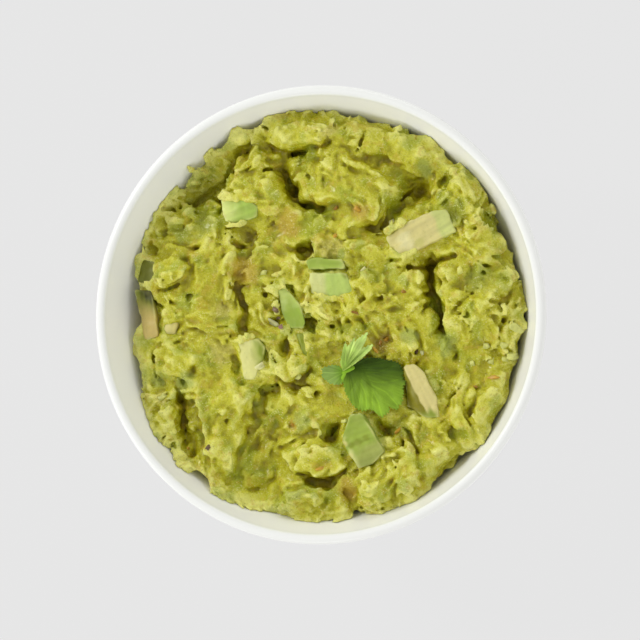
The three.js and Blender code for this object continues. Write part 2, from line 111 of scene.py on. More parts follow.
def lathe(section, sides):
    """Points and faces of a section, from axis to axis, turned round Z."""
    turn = np.linspace(0, 2 * math.pi, sides, endpoint=False)
    inner = section[1:-1]
    ring = np.stack([np.cos(turn), np.sin(turn)], 1)
    points = [(ring * r).tolist() for r, _ in inner]
    points = [(x, y, z) for row, (_, z) in zip(points, inner) for x, y in row]
    points += [(0, 0, section[0][1]), (0, 0, section[-1][1])]
    first, last = len(points) - 2, len(points) - 1
    faces = []
    for i in range(sides):
        j = (i + 1) % sides
        faces.append((first, j, i))
        for k in range(len(inner) - 1):
            a, b = k * sides, (k + 1) * sides
            faces.append((a + i, a + j, b + j, b + i))
        top = (len(inner) - 1) * sides
        faces.append((top + i, top + j, last))
    return points, faces


class Shade:
    """A socket of a material. Arithmetic on it adds Math nodes, and node() adds any other node."""

    def __init__(self, tree, socket=None):
        self.tree = tree
        self.socket = socket

    def node(self, kind, settings, sockets, output=0):
        node = self.tree.nodes.new("ShaderNode" + kind)
        for name, value in settings.items():
            if name == "stops":
                ramp = node.color_ramp
                for _ in value[2:]:
                    ramp.elements.new(1.0)
                for element, (place, colour) in zip(ramp.elements, value):
                    element.position = place
                    element.color = colour
            else:
                setattr(node, name, value)
        for name, value in sockets.items():
            if isinstance(value, Shade):
                self.tree.links.new(value.socket, node.inputs[name])
            else:
                node.inputs[name].default_value = value
        return Shade(self.tree, node.outputs[output])

    def maths(self, operation, first, second=0.0):
        return self.node("Math", {"operation": operation}, {0: first, 1: second})

    def __add__(self, other):
        return self.maths("ADD", self, other)

    __radd__ = __add__

    def __sub__(self, other):
        return self.maths("SUBTRACT", self, other)

    def __rsub__(self, other):
        return self.maths("SUBTRACT", other, self)

    def __mul__(self, other):
        return self.maths("MULTIPLY", self, other)

    __rmul__ = __mul__

    def between(self, low, high):
        """0 where this is low, 1 where it is high, and smooth in between."""
        span = {"From Min": low, "From Max": high, "Value": self}
        return self.node("MapRange", {"interpolation_type": "SMOOTHSTEP"}, span)

    def mixed(self, first, second):
        """With this as the factor, the first colour turns into the second."""
        return self.node("Mix", {"data_type": "RGBA"}, {0: self, 6: first, 7: second}, 2)

    def place(self):
        """Where a point is on the object, in metres."""
        return self.node("TexCoord", {}, {}, "Object")

    def noise(self, size, detail=2.0, roughness=0.5, stretch=(1.0, 1.0, 1.0)):
        """Clouds from 0 to 1, whose lumps measure about this many millimetres."""
        where = self.node("VectorMath", {"operation": "MULTIPLY"}, {0: self.place(), 1: stretch})
        sockets = {"Vector": where, "Scale": 1 / (size * MM), "Detail": detail, "Roughness": roughness}
        return self.node("TexNoise", {}, sockets, "Fac")

    def bumped(self, strength, depth):
        """The normal of a surface that has this as its relief, so many millimetres deep."""
        return self.node("Bump", {}, {"Strength": strength, "Distance": depth * MM, "Height": self})

    def attribute(self, name, output="Fac"):
        """What the mesh stores at each point under this name."""
        return self.node("Attribute", {"attribute_name": name}, {}, output)


def tint(red, green, blue):
    """A colour from the 0 to 255 numbers of a screen, as the shader's linear numbers."""
    linear = [((c / 255 + 0.055) / 1.055) ** 2.4 if c > 10 else c / 3295 for c in (red, green, blue)]
    return (*linear, 1.0)


def finish(name, shader):
    """A material whose surface is what shader, called with a Shade to start from, gives back."""
    material = bpy.data.materials.new(name)
    material.use_nodes = True
    tree = material.node_tree
    tree.nodes.clear()
    tree.nodes.new("ShaderNodeOutputMaterial")
    tree.links.new(shader(Shade(tree)).socket, tree.nodes["Material Output"].inputs["Surface"])
    return material


def glaze(start):
    """White glaze: faint clouds, a dimpled skin, and painted shade that makes the lip slightly darker."""
    cloud = start.noise(38, 3)
    peel = start.noise(1.6, 2)
    colour = cloud.between(0.3, 0.7).mixed(tint(246, 246, 241), tint(248, 248, 245))
    height = start.node("SeparateXYZ", {}, {"Vector": start.place()}, "Z")
    # thin is the share of painted shade on the lip, which dims its colour a little
    thin = height.between((RIM_Z - LIP_SHADE[0]) * MM, (RIM_Z - LIP_SHADE[1]) * MM)
    colour = thin.mixed(colour, tint(243, 244, 240))
    return start.node("BsdfPrincipled", {}, {
        "Base Color": colour, "Roughness": 0.2 + 0.1 * cloud, "Normal": peel.bumped(0.05, 0.1),
        "Specular IOR Level": 0.22, "Coat Weight": 0.06, "Coat Roughness": 0.12})


def bare_clay(start):
    """Unglazed stoneware, wiped and sanded."""
    grain = start.noise(0.7, 4, 0.65)
    colour = grain.between(0.35, 0.7).mixed(tint(214, 205, 188), tint(232, 225, 211))
    return start.node("BsdfPrincipled", {}, {
        "Base Color": colour, "Roughness": 0.85, "Normal": grain.bumped(0.35, 0.2)})


# The section, as radius and level: from under the middle to the foot's outside, then round the lip.
foot = [
    (0, UNDER_Z), (FOOT_IN_R - 2, UNDER_Z - 0.2), (FOOT_IN_R - 0.4, UNDER_Z - 1.3),
    (FOOT_IN_R + 0.5, 0), (FOOT_R - 1, 0), (FOOT_R, 0.9), (FOOT_R - 0.7, 5),
]
lip = [
    (LIP_R, RIM_Z - 2.4), (LIP_R - 0.15, RIM_Z - 1.2), (LIP_R - 0.75, RIM_Z - 0.4),
    (LIP_R - 1.7, RIM_Z), (MOUTH_R + 0.9, RIM_Z - 0.15), (MOUTH_R + 0.25, RIM_Z - 0.7),
    (MOUTH_R, MOUTH_Z),
]
inside = wall_point(np.linspace(1, 0, WALL_STEPS))[1:]
section = soften([*foot, *outside_points(WALL_STEPS // 2), *lip, *inside], 2)
bowl = new_object("bowl_glazed", *lathe(section, BOWL_SIDES))
bowl.data.materials.append(finish("white_glaze", glaze))
bowl.data.materials.append(finish("bare_clay_foot", bare_clay))
for face in bowl.data.polygons:
    face.material_index = int(face.center.z < BARE_Z * MM)
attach(bowl, "root")
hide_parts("bowl")

# ---------------------------------------------------------------- guacamole
# Ripe avocado mashed with a fork and heaped by the spoonful: coarse lumps bound by smooth paste,
# pulled into ragged crests, with air holes between. It is one mass down to the floor of the bowl.
EDGE_Z = 50.0                 # level where the mash meets the wall
CROWN = 2.3                   # rise of the heap above its edge
CROWN_R = 68.0                # radius where that rise has run out
MOUND_RISE = 1.2              # strength of the mounds
TOP_Z = 56.3                  # little of the mash stands above this
OVER_TOP = 0.15               # share of what would stand above it that is left
CLEAR = 0.35                  # mash to wall at the edge of the heap
VOXEL = 0.55                  # step of the grid that the mash is modelled on
GRID_R = 68.4                 # how far from the middle the grid reaches
GRID_TOP = 58.6               # its highest level
DEEP_Z = 42.0                 # below this it is coarser in height
DEEP_STEP = 3.0               # its step in height there
FACES = 195000                # triangles kept of the mash
RELIEF_R = 67.0               # the finer relief has run out at this radius
RELIEF_DEEP = 3.4             # it reaches this far from the smooth surface
MORE_MOUND, MORE_FOLD = 0.7, 0.5  # shares of the mounds and folds that are added to the solid's
MORE_TORN = 1.6               # strength of the torn edges
OVER_TOP_FINE = 0.5           # as OVER_TOP, with the relief
WALL_GAP = 0.12               # least gap between mash and wall
# Spoonfuls, shoulders and hollows: centre x, y, half lengths, turn of the long axis, height.
MOUNDS = [
    (9.5, 43, 16, 9.5, -28, 2.7), (-23.5, 43, 13, 7.2, -45, 3.2), (-5.5, 60.5, 12.5, 6, -8, 2.4),
    (14.5, 58, 10, 6, -10, 1.9), (32, 54, 8, 6.5, -25, 2.0), (48.5, 41, 10.4, 8.7, 60, 3.2),
    (52, 24, 8, 7, 0, 2.5), (54, 4.5, 13, 12.5, 20, 2.2), (14.5, 5, 18, 9.8, 0, 1.3),
    (-39.5, 9, 19, 13, 80, 2.4), (-53.5, 15.5, 7.4, 5.2, 0, 1.4), (-51.5, -13, 10, 5.2, 0, 1.5),
    (-55, -36, 10, 6, -70, 1.4), (-56.5, -26, 4.6, 4, 0, 1.1), (-36, -29.5, 9.4, 6, 20, 1.6),
    (-32.5, -47.5, 9, 7, 0, 1.7), (21, -55.5, 13.4, 7.5, 15, 2.2), (-7.5, -60.5, 10, 6, -5, 1.9),
    (-4, -46, 10, 5, 10, 1.9), (52.5, -31.5, 11, 8, 65, 1.9), (36, -49, 8.5, 7.4, 0, 1.4),
    (-12.5, -13, 9, 7.4, 80, 1.3), (-27, 58.5, 4.2, 3.4, 10, 3.4), (24.5, -11.8, 5, 2.4, -10, 1.2),
    (-45, 42.5, 13.4, 9.8, 20, -2.8), (-33, 53, 8, 4.5, 35, -2.4), (31, 42.5, 7.4, 5.2, 10, -2.6),
    (-20, -44.5, 14.6, 10, 85, -1.9), (-20, -57.5, 5.4, 3.3, 0, -1.4), (-13, -12, 3.9, 3, 80, -1.7),
    (-23, 50, 6, 3.5, 60, -1.2),
]
# Open furrows and standing folds left by the spoon: path, half width, height.
FOLDS = [
    ([(-16, 50), (-7.5, 38), (-0.5, 34)], 2.1, -3.2), ([(-13, 54), (-1.5, 52.5)], 1.7, -2.4),
    ([(35.5, 17), (36, 6), (40, -4.5)], 2.8, -4.2), ([(17, 28.5), (28, 37.5), (33, 40)], 2.2, -2.4),
    ([(-25, 28), (-27.5, 12), (-27, -4.5)], 2.8, -1.8), ([(-49, -29.5), (-44.5, -46)], 2.4, -1.8),
    ([(-20, -25), (-5.5, -24.5)], 1.7, -1.8), ([(8, 51), (21, 45), (26, 39), (31, 37.5)], 1.3, 1.3),
    ([(-15, 65), (-10, 56)], 1.6, 1.1), ([(-30.5, 19.5), (-29.5, -4.5)], 1.7, 1.1),
    ([(-44, -23), (-41.5, -34.5), (-36, -44.5)], 1.4, 1.1), ([(-27.5, -27), (-32.5, -41)], 1.5, 0.9),
    ([(45, 6), (52.5, 4.5), (59, 6.5)], 1.3, 1.0), ([(49.5, -27.5), (59, -23.5)], 1.4, 0.9),
    ([(-7.5, -28), (-0.5, -38)], 1.5, 0.9),
]
# Air holes: centre x, y, half sizes, depth.
HOLES = [
    (41.5, 43.5, 2.3, 2.3, 3.4), (2.5, -39, 3, 2.6, 4.4), (-1.5, -55, 4.7, 2.1, 4.2),
    (44, -12.5, 1.6, 2.6, 2.6), (19, 5.5, 1.9, 1.7, 2.4), (-4.5, -1, 2.3, 4.4, 2.6),
    (-45.5, 8, 2, 3.3, 1.8), (-28.5, -18, 1.9, 2.9, 2.2), (10, -59.5, 2.7, 3.6, 2.6),
    (-6, 22, 3.2, 2.3, 3.4), (-60, 23, 1.6, 2.4, 2.6),
]
# How the edge climbs or leaves the wall: middle and half width in degrees, rise.
EDGE_CLIMBS = [
    (115, 26, 4.2), (60, 6, 3.2), (92, 12, 1.2), (-132, 30, 4.6), (-95, 5, 1.6), (-67, 10, 1.2),
    (13, 14, -3.4), (29, 7, -6), (73, 8, -3.2), (-80, 5, -4), (-49, 9, -5.4), (-33, 10, -2.4),
    (-15, 12, -4.2), (-168, 8, -2.2), (126, 4, -3), (-139, 3, -2.4),
]
# How coarse (1) or smeared smooth (0) the mash is round some places: x, y, radius, coarseness.
COARSENESS = [
    (48, 41, 11, 0.15), (-20, -46, 13, 0.3), (52, -40, 12, 0.35), (-45, 40, 10, 0.6),
    (8, 43, 8, 0.6), (36, -49, 9, 0.5), (55, 12, 7, 0.6), (-10, -35, 8, 0.5), (14, 5, 18, 1.25),
    (52, 0, 16, 1.2), (-55, -20, 14, 1.2), (-12, 8, 9, 1.2), (20, -58, 12, 1.1), (52, 26, 8, 1.3),
]
# Small lumps of avocado all over: how many, out to what radius, their half sizes and heights.
LUMPS = {
    "count": 170, "within": 64, "long": (2.4, 4.6), "wide": (1.5, 3), "high": (-0.99, 1.21), "seed": 41}
# Torn edges: a path with the high side on its left, the step, how far the high side runs out, and
# the depth and half width of the gap at its foot.
TORN_EDGES = [
    ([(-17, 56), (-13, 54.2), (-5, 54.2), (2, 57)], 1.6, 6, 1.8, 1.1),
    ([(-24, 57), (-29.5, 51), (-31, 46), (-33, 42.5), (-34.6, 38.5)], 1.8, 6, 3.4, 2.6),
    ([(-6.5, 33), (-9, 38), (-11, 43), (-15.5, 50.5)], 1.0, 5, 0.6, 1.2),
    ([(-9.5, 43), (-6, 37.5), (-1, 34.8), (6, 36.5)], 1.2, 6, 1.0, 1.2),
    ([(-49, 37.5), (-43, 41.5), (-38, 45.2), (-32.5, 48.5)], 2.2, 4, 3.2, 2.4),
    ([(-35.5, 33), (-35.3, 37.5), (-38, 39.3), (-44, 38.6), (-49, 36.5)], 1.3, 5, 1.2, 1.0),
    ([(-55, 9.8), (-49, 10.8), (-45, 12.5), (-44.5, 16), (-47, 19)], 1.2, 5, 1.2, 1.0),
    ([(-11, 23), (-8, 23.2), (-3.5, 22.8), (-2.8, 20)], 1.4, 4, 1.0, 1.2),
    ([(-16, -20), (-12, -22.5), (-8, -21.5), (-6, -18)], 1.2, 3.5, 1.8, 1.2),
    ([(-46, -22), (-44, -27), (-41.5, -35), (-39, -43), (-37, -49)], 1.0, 5, 0.8, 1.2),
    ([(-46.5, -49), (-49, -42), (-47.2, -38.6), (-49.5, -33), (-50, -26)], 1.5, 5, 1.2, 1.2),
    ([(-50, -30.5), (-54, -31), (-58.5, -32.5)], 0.9, 4, 1.0, 0.9),
    ([(-30, -50), (-28, -43), (-25.5, -37), (-24.8, -30), (-26.5, -25)], 1.6, 6, 0.8, 1.6),
    ([(-7, -51), (-3, -52.2), (3, -52.5), (6, -50)], 1.3, 5, 1.0, 1.0),
    ([(31, -61), (33.5, -57), (32, -50), (30, -44), (26.5, -38.5)], 1.3, 6, 1.0, 1.4),
    ([(59.5, -27), (57.5, -24.2), (52, -27.5), (50, -32)], 1.0, 5, 1.0, 1.0),
    ([(27, 16.5), (34, 15.5), (38, 17.5), (43.5, 19)], 1.1, 4, 1.4, 1.0),
    ([(34.2, 0), (33.6, 7), (34.2, 13)], 1.2, 5, 0.4, 1.2),
    ([(41, -3), (38.5, 3), (37, 9.5)], -1.0, 4, 0.0, 1.2),
    ([(14.5, 30), (19, 33), (25, 36.5)], 0.9, 5, 1.2, 1.6),
    ([(23, 51), (15, 53.5), (9, 56.5), (3, 57.5)], -1.2, 5, 0.0, 1.2),
    ([(56, 33), (60.5, 26.5), (58.5, 22)], 1.2, 5, 0.8, 1.2),
    ([(-4, -66), (0, -61), (-4, -58), (-12, -57.5)], 1.0, 4, 0.6, 1.0),
    ([(25, -32), (22, -36), (21, -42)], -1.2, 5, 0.4, 1.2),
    ([(43, -50), (44, -44), (41, -39), (35, -38.5)], 0.8, 5, 1.0, 1.0),
    ([(8, 6), (14, 9), (16, 6), (13, 1)], 0.9, 3, 0.8, 1.0),
    ([(-20, -31), (-20.5, -27), (-17, -24.5)], -0.8, 4, 0.6, 1.0),
    ([(60, 2), (53, 4), (46, 7), (40, 11)], 0.8, 4, 0.8, 1.0),
]
# Where the paste has pulled away from the wall: bearing, half width in degrees, how far, how deep.
CLEFTS = [
    (22.5, 5.5, 3.0, 10), (13, 4.5, 1.8, 8), (49.5, 2, 1.6, 5), (36, 6, 0.9, 5), (62, 3, 2.0, 7),
    (69, 2.5, 1.3, 5), (77.5, 2, 1.3, 5), (84, 2.5, 1.6, 5), (110, 2.8, 2.4, 8), (120, 4.5, 2.4, 8),
    (130.5, 3, 1.8, 6), (137, 2, 1.6, 5), (160, 2.2, 2.2, 7), (167, 3.5, 2.2, 8), (178, 11, 6.0, 9),
    (-163, 5, 2.8, 10), (-126, 4, 2.8, 9), (-81, 2.5, 1.8, 6), (-53.5, 2.5, 1.8, 6), (-46, 3, 2.2, 7),
    (-30, 7, 0.8, 5), (-18, 5, 1.8, 8), (-9, 2.5, 2.0, 8), (-1, 2, 1.4, 6),
]
# Where the mash stands lower beside a die, and one place where it stands higher: centre x, y, half
# lengths, turn of the long axis, height.
DIPS = [
    (19.5, -36.5, 4.6, 2.2, -60, -4.5), (28.5, -24, 6.5, 2.4, -62, -3.0), (-56.2, 0, 2.0, 4.5, 0, -1.8),
    (-60.5, 9.8, 3.5, 0.9, 10, -2.0), (-29.5, -16, 1.4, 4, 15, -1.8), (-10, 8.5, 3.5, 1.2, -50, -1.6),
    (5, -44, 4.5, 1.2, -58, -1.4), (2.5, 15.3, 5.5, 0.9, -3, -2.6), (-18.5, -13.5, 1.4, 3.4, 20, -2.2),
    (-50.4, -3.6, 2.6, 3.0, 0, -1.8), (-26, 15, 3.8, 3.4, 0, 2.2),
]
RIPE = (200, 168, 50)         # the tints that flesh of another ripeness gives the paste, and last a painted shadow
CREAM = (208, 198, 88)
YOUNG = (176, 188, 82)
UNRIPE = (152, 160, 40)
# a painted shadow that the raised leaflet casts on the mash, not a ripeness
LEAF_SHADOW = (128, 96, 10)
# Where they are, and where the painted shadow of the raised leaflet lies: centre x, y, radius, tint.
STAINS_AND_SHADOW = [
    (-26, 15, 4.5, RIPE), (3, 21.5, 3.5, CREAM), (-34, -12, 3.5, CREAM),
    (-46, -22, 3.0, YOUNG), (-55, -21, 2.8, YOUNG), (-7, -35, 3.0, YOUNG),
    (25, -37.5, 3.2, UNRIPE), (20, -9.5, 3.4, LEAF_SHADOW), (41, -10, 3.2, YOUNG),
    (-54, -27, 2.4, CREAM), (-10, -36, 1.8, RIPE), (13, 34, 2.6, RIPE),
    (-12, 30, 4.0, RIPE), (52, 12, 4.0, UNRIPE), (-40, 30, 3.5, UNRIPE),
    (8, -57, 3.0, RIPE), (-33, 2, 3.0, CREAM), (44, 33, 4.0, UNRIPE),
    (29, -7, 2.6, YOUNG), (34, 48, 2.5, YOUNG), (-47, 27, 2.6, UNRIPE),
    (3, 60, 2.4, CREAM), (6, 20, 2.0, YOUNG),
]
# Mash smeared over the edges of the dice: centre x, y, z, half lengths and turn.
SMEARS = [
    (-33.2, 39.8, 55.2, 1.8, 1.2, 0.9, 20), (-29.6, 39.6, 55.8, 2.4, 1.3, 1.0, -10),
    (-26.4, 40.6, 56.6, 1.5, 1.2, 1.0, 0), (-23.0, 39.2, 56.1, 2.2, 1.4, 0.9, 10),
    (-28.4, 30.3, 54.2, 3.2, 0.9, 0.6, 5), (0.5, 5.9, 54.4, 3.4, 0.9, 0.7, -8),
    (9.8, 6.2, 54.6, 2.2, 0.9, 0.7, 8), (-15.0, 2.6, 53.9, 0.9, 2.4, 0.7, 15),
    (-11.8, -4.2, 54.4, 1.8, 1.1, 0.7, -20), (-12.9, 11.0, 54.3, 1.3, 1.3, 0.8, 0),
    (-25.0, -7.4, 54.5, 2.6, 1.0, 0.7, 5), (23.4, 27.8, 55.4, 2.2, 1.3, 0.9, 30),
    (27.2, 29.7, 56.0, 1.9, 1.3, 1.0, 20), (30.6, 31.6, 56.2, 1.7, 1.0, 0.8, 25),
    (29.4, 19.9, 54.1, 2.6, 1.0, 0.7, 30), (-51.6, -1.2, 53.4, 2.2, 0.8, 0.6, 0),
    (28.2, -16.2, 55.5, 2.0, 1.1, 0.9, 25), (31.8, -15.6, 56.1, 2.2, 1.2, 1.0, 0),
    (8.4, -34.0, 55.2, 2.0, 1.3, 0.9, 60), (6.9, -37.8, 54.9, 1.6, 1.1, 0.8, 70),
]
# Chunks that stick out of the surface all over, most where the mash is coarse.
CHUNKS = {"tries": 520, "share": 0.85}  # places tried, and the share of them that gets a chunk
CHUNK_SIZE = (1.3, 3.2)       # least half size, and what the largest has on top of it
CHUNK_SHAPE = [(0.8, 0.6, 0.4), (1.5, 1.0, 0.75)]  # least and most of that along each axis
CHUNK_DEPTH = (-0.75, -0.2)   # how deep its middle lies, in its half size
CHUNK_FILLETS = [0.6, 1.2, 2.0]  # where it meets the paste
CHUNK_TOP = 57.6              # no chunk reaches above this level
# Narrow slits between the lumps.
SLITS = {"tries": 36, "share": 0.9}
SLIT_SIZE = [(3.0, 6.5), (0.4, 0.75), (1.5, 3.0)]  # least and most half length, width and depth
SCATTER_SEED = 7              # of the chunks and slits
STREAK_TURNS = (0.3, 1.1, 1.9, 2.7)  # ways that the spoon has drawn the paste
STREAK_PULL = 0.22            # width of a streak as a share of its length
F = np.float32                # the grid is large, so it is kept in short numbers


def chances(seed):
    """An endless run of seeded numbers from 0 to 1, the same that place the lumps of the solid."""
    word, step = 0xFFFFFFFF, 0x6D2B79F5
    state = seed
    while True:
        state = (state + step) & word
        t = (state ^ state >> 15) * (state | 1) & word
        t ^= (t + ((t ^ t >> 7) * (t | 61) & word)) & word
        yield (t ^ t >> 14) / (word + 1)


def scatter_lumps(count, within, long, wide, high, seed):
    """Lumps spread evenly over a disc, each as a mound is written."""
    draw = chances(seed)
    lumps = []
    for _ in range(count):
        r = within * math.sqrt(next(draw))
        a = 2 * math.pi * next(draw)
        sizes = [low + (top - low) * next(draw) for low, top in (long, wide, (0, 180), high)]
        lumps.append((r * math.cos(a), r * math.sin(a), *sizes))
    return lumps


lumps = scatter_lumps(**LUMPS)


def smooth(t):
    """0 below 0, 1 above 1, and an easy rise between."""
    t = np.clip(t, 0, 1)
    return t * t * (3 - 2 * t)


def mound_height(x, y, mound):
    """Height of an oval mound with a broad top."""
    cx, cy, long, wide, turn, high = mound
    c, s = math.cos(math.radians(turn)), math.sin(math.radians(turn))
    u = ((x - cx) * c + (y - cy) * s) / long
    v = ((y - cy) * c - (x - cx) * s) / wide
    return high * np.exp(-0.9 * np.minimum(u * u + v * v, 9) ** 1.25)


def path_distance(x, y, path):
    """Distance to a line of several points."""
    best = np.full(np.shape(x), 1e9)
    for (ax, ay), (bx, by) in zip(path, path[1:]):
        ux, uy = bx - ax, by - ay
        t = np.clip(((x - ax) * ux + (y - ay) * uy) / (ux * ux + uy * uy), 0, 1)
        best = np.minimum(best, np.hypot(x - ax - ux * t, y - ay - uy * t))
    return best


def torn_edge(x, y, path, step, run, gap, width):
    """Rise of a torn edge, high on the left of its path and with a gap on the right."""
    best = np.full(np.shape(x), 1e9)
    side = best * 0
    past = best * 0
    for (ax, ay), (bx, by) in zip(path, path[1:]):
        long = math.hypot(bx - ax, by - ay)
        ux, uy = (bx - ax) / long, (by - ay) / long
        along = (x - ax) * ux + (y - ay) * uy
        across = (y - ay) * ux - (x - ax) * uy
        off = along - np.clip(along, 0, long)
        away = np.hypot(across, off)
        end = ((ax, ay) == path[0]) * np.maximum(-off, 0) + ((bx, by) == path[-1]) * np.maximum(off, 0)
        nearer = away < best
        best = np.where(nearer, away, best)
        side = np.where(nearer, np.sign(across), side)
        past = np.where(nearer, end, past)
    high = side * best
    rise = step * np.exp(-(np.maximum(high, 0) / run) ** 1.5) * smooth(high + 0.5)
    return (rise - gap * np.exp(-((high + 0.6) / width) ** 2)) * np.exp(-(past / 1.8) ** 2)


def edge_level(angle):
    """Level where the mash meets the wall."""
    level = EDGE_Z + 0.4 * np.sin(9 * angle + 2)
    for middle, half, rise in EDGE_CLIMBS:
        away = np.abs((np.degrees(angle) - middle + 540) % 360 - 180)
        level = level + rise * smooth((1 - away / half) * 1.5)
    return level


def mash_level(x, y):
    """Level of the top of the mash, as its solid has it."""
    r = np.hypot(x, y)
    level = EDGE_Z + CROWN * (1 - np.minimum(1, r / CROWN_R) ** 2.4)
    for mound in MOUNDS:
        level = level + MOUND_RISE * mound_height(x, y, mound)
    for path, half, high in FOLDS:
        level = level + high * np.exp(-(path_distance(x, y, path) / half) ** 2)
    for cx, cy, a, b, deep in HOLES:
        q = ((x - cx) / a) ** 2 + ((y - cy) / b) ** 2
        level = level - deep * np.exp(-0.8 * np.minimum(q, 9) ** 2)
    for lump in lumps:
        level = level + mound_height(x, y, lump)
    level = np.minimum(level, TOP_Z + OVER_TOP * (level - TOP_Z))
    edge = edge_level(np.arctan2(y, x))
    inward = wall_radius(edge) - CLEAR - r
    width = 2.2 + np.maximum(1.5 * (edge - EDGE_Z), 0.35 * (EDGE_Z - edge))
    inside = edge + (level - edge) * smooth(0.15 + 0.85 * inward / width)
    return np.where(inward > 0, inside, edge)


def clouds(points, size, seed):
    """Smooth random numbers from -1 to 1 at points in space, in lumps of this size."""
    rng = np.random.default_rng(seed)
    n = 40  # they repeat after this many lumps
    lattice = rng.uniform(-1, 1, n**3).astype(F)
    turn = np.linalg.qr(rng.normal(size=(3, 3)))[0].astype(F)
    p = (points @ turn.T) / F(size) + F(200.5)
    low = np.floor(p).astype(np.int32)
    part = (p - low).astype(F)
    w = part * part * (3 - 2 * part)
    low %= n
    high = (low + 1) % n
    steps = np.array([n * n, n, 1], np.int32)
    ends = [low * steps, high * steps]
    total = np.zeros(len(points), F)
    for corner in np.ndindex(2, 2, 2):
        value = lattice[sum(ends[side][:, axis] for axis, side in enumerate(corner))]
        for axis, side in enumerate(corner):
            value = value * (w[:, axis] if side else 1 - w[:, axis])
        total += value
    return total * F(1.5)


def join(a, b, soft):
    """Union of two fields, negative inside, with a fillet where they meet."""
    h = np.clip(0.5 + 0.5 * (b - a) / soft, 0, 1)
    return b * (1 - h) + a * h - soft * h * (1 - h)


def cut(a, b, soft):
    """What is in both fields, with a rounded edge."""
    return -join(-a, -b, soft)


# The grid, and how coarse the mash is at each place seen from above.
xs = np.arange(-GRID_R, GRID_R + 0.01, VOXEL, dtype=F)
deep = np.arange(FLOOR_Z + 0.6, DEEP_Z, DEEP_STEP)
zs = np.concatenate([deep, np.arange(DEEP_Z, GRID_TOP, VOXEL)]).astype(F)
grid_x, grid_y = np.meshgrid(xs, xs, indexing="ij")
radius = np.hypot(grid_x, grid_y)
flat = np.stack([grid_x.ravel(), grid_y.ravel(), np.zeros(grid_x.size, F)], 1)
coarse = (0.75 + 0.55 * clouds(flat, 17, 5)).reshape(grid_x.shape)
for cx, cy, reach, value in COARSENESS:
    weight = np.exp(-(((grid_x - cx) ** 2 + (grid_y - cy) ** 2) / reach**2) ** 2)
    coarse = coarse * (1 - weight) + value * weight
coarse = np.clip(coarse, 0.1, 1.3).astype(F)

# The top of the mash: the solid's level, with heaves and torn ridges over it, and its mounds, folds
# and torn edges drawn with a ragged outline, as ragged_x and ragged_y wander off the true place.
heaves = 0.4 * clouds(flat, 12, 6) + 0.4 * clouds(flat, 6.5, 8)
ridges = 1 - np.abs(clouds(flat + 2.5 * clouds(flat, 9, 9)[:, None], 12, 10)) * 4
heaved = (heaves + 0.6 * np.maximum(ridges, 0)).reshape(grid_x.shape) * (0.4 + 0.6 * coarse) - 0.5
uneven = [1.1 * clouds(flat, 5, 50 + i) + 0.5 * clouds(flat, 2.2, 52 + i) for i in (0, 1)]
wander = smooth((RELIEF_R - radius) / 6)
ragged_x, ragged_y = (g + u.reshape(g.shape) * wander for g, u in zip((grid_x, grid_y), uneven))
for mound in MOUNDS:
    heaved += MORE_MOUND * mound_height(ragged_x, ragged_y, mound)
for path, half, high in FOLDS:
    heaved += MORE_FOLD * high * np.exp(-(path_distance(ragged_x, ragged_y, path) / half) ** 2)
for dip in DIPS:
    heaved += mound_height(grid_x, grid_y, dip)
for edge in TORN_EDGES:
    heaved += MORE_TORN * torn_edge(ragged_x, ragged_y, *edge)
level = mash_level(ragged_x, ragged_y) + heaved * smooth((RELIEF_R - radius) / 5)
level = np.minimum(level, TOP_Z + OVER_TOP_FINE * (level - TOP_Z)).astype(F)
dx, dy = np.gradient(level, VOXEL)
slope = np.sqrt(1 + np.minimum(dx * dx + dy * dy, 4)).astype(F)
# The mash is where this is negative, and elsewhere it is about the distance to the mash.
field = (zs[None, None, :] - level[:, :, None]) / slope[:, :, None]


def window(centre, reach):
    """The part of the grid round a point, and the grid's places there."""
    parts = []
    for axis, middle in zip((xs, xs, zs), centre):
        parts.append(slice(*np.searchsorted(axis, (middle - reach, middle + reach))))
    return tuple(parts), np.meshgrid(xs[parts[0]], xs[parts[1]], zs[parts[2]], indexing="ij")


def egg(places, centre, radii, turn):
    """Field of an egg of these half sizes."""
    p = np.stack([a - c for a, c in zip(places, centre)], -1) @ turn.astype(F)
    near = np.sqrt(((p / radii) ** 2).sum(-1))
    return (near * (near - 1) / (np.sqrt(((p / radii**2) ** 2).sum(-1)) + 1e-6)).astype(F)


rng = np.random.default_rng(SCATTER_SEED)


def scatter(tries, share):
    """Random places on the mash, fewer where it is smooth."""
    for _ in range(tries):
        a, r = rng.uniform(0, 2 * math.pi), RELIEF_R * math.sqrt(rng.uniform())
        x, y = r * math.cos(a), r * math.sin(a)
        i, j = (int((v - xs[0]) / VOXEL) for v in (x, y))
        if rng.uniform() < coarse[i, j] * share:
            yield x, y, level[i, j]


def leaning(turn, axis, lean):
    """A turn about the upright, after a lean about another axis."""
    return np.array(Matrix.Rotation(turn, 3, "Z") @ Matrix.Rotation(lean, 3, axis))


for x, y, z in scatter(**CHUNKS):
    size = CHUNK_SIZE[0] + CHUNK_SIZE[1] * rng.uniform() ** 2
    centre = (x, y, min(z + rng.uniform(*CHUNK_DEPTH) * size, CHUNK_TOP - 0.8 * size))
    radii = size * rng.uniform(*CHUNK_SHAPE)
    turn = leaning(rng.uniform(0, math.pi), "Y", rng.normal(0, 0.5))
    fillet = F(rng.choice(CHUNK_FILLETS))
    parts, places = window(centre, radii.max() + 1.5)
    field[parts] = join(field[parts], egg(places, centre, radii, turn), fillet)
for x, y, z in scatter(**SLITS):
    radii = np.array([rng.uniform(*span) for span in SLIT_SIZE])
    turn = leaning(rng.uniform(0, math.pi), "X", rng.uniform(-0.7, 0.7))
    parts, places = window((x, y, z), radii.max() + 1.2)
    field[parts] = cut(field[parts], -egg(places, (x, y, z), radii, turn), F(0.5))

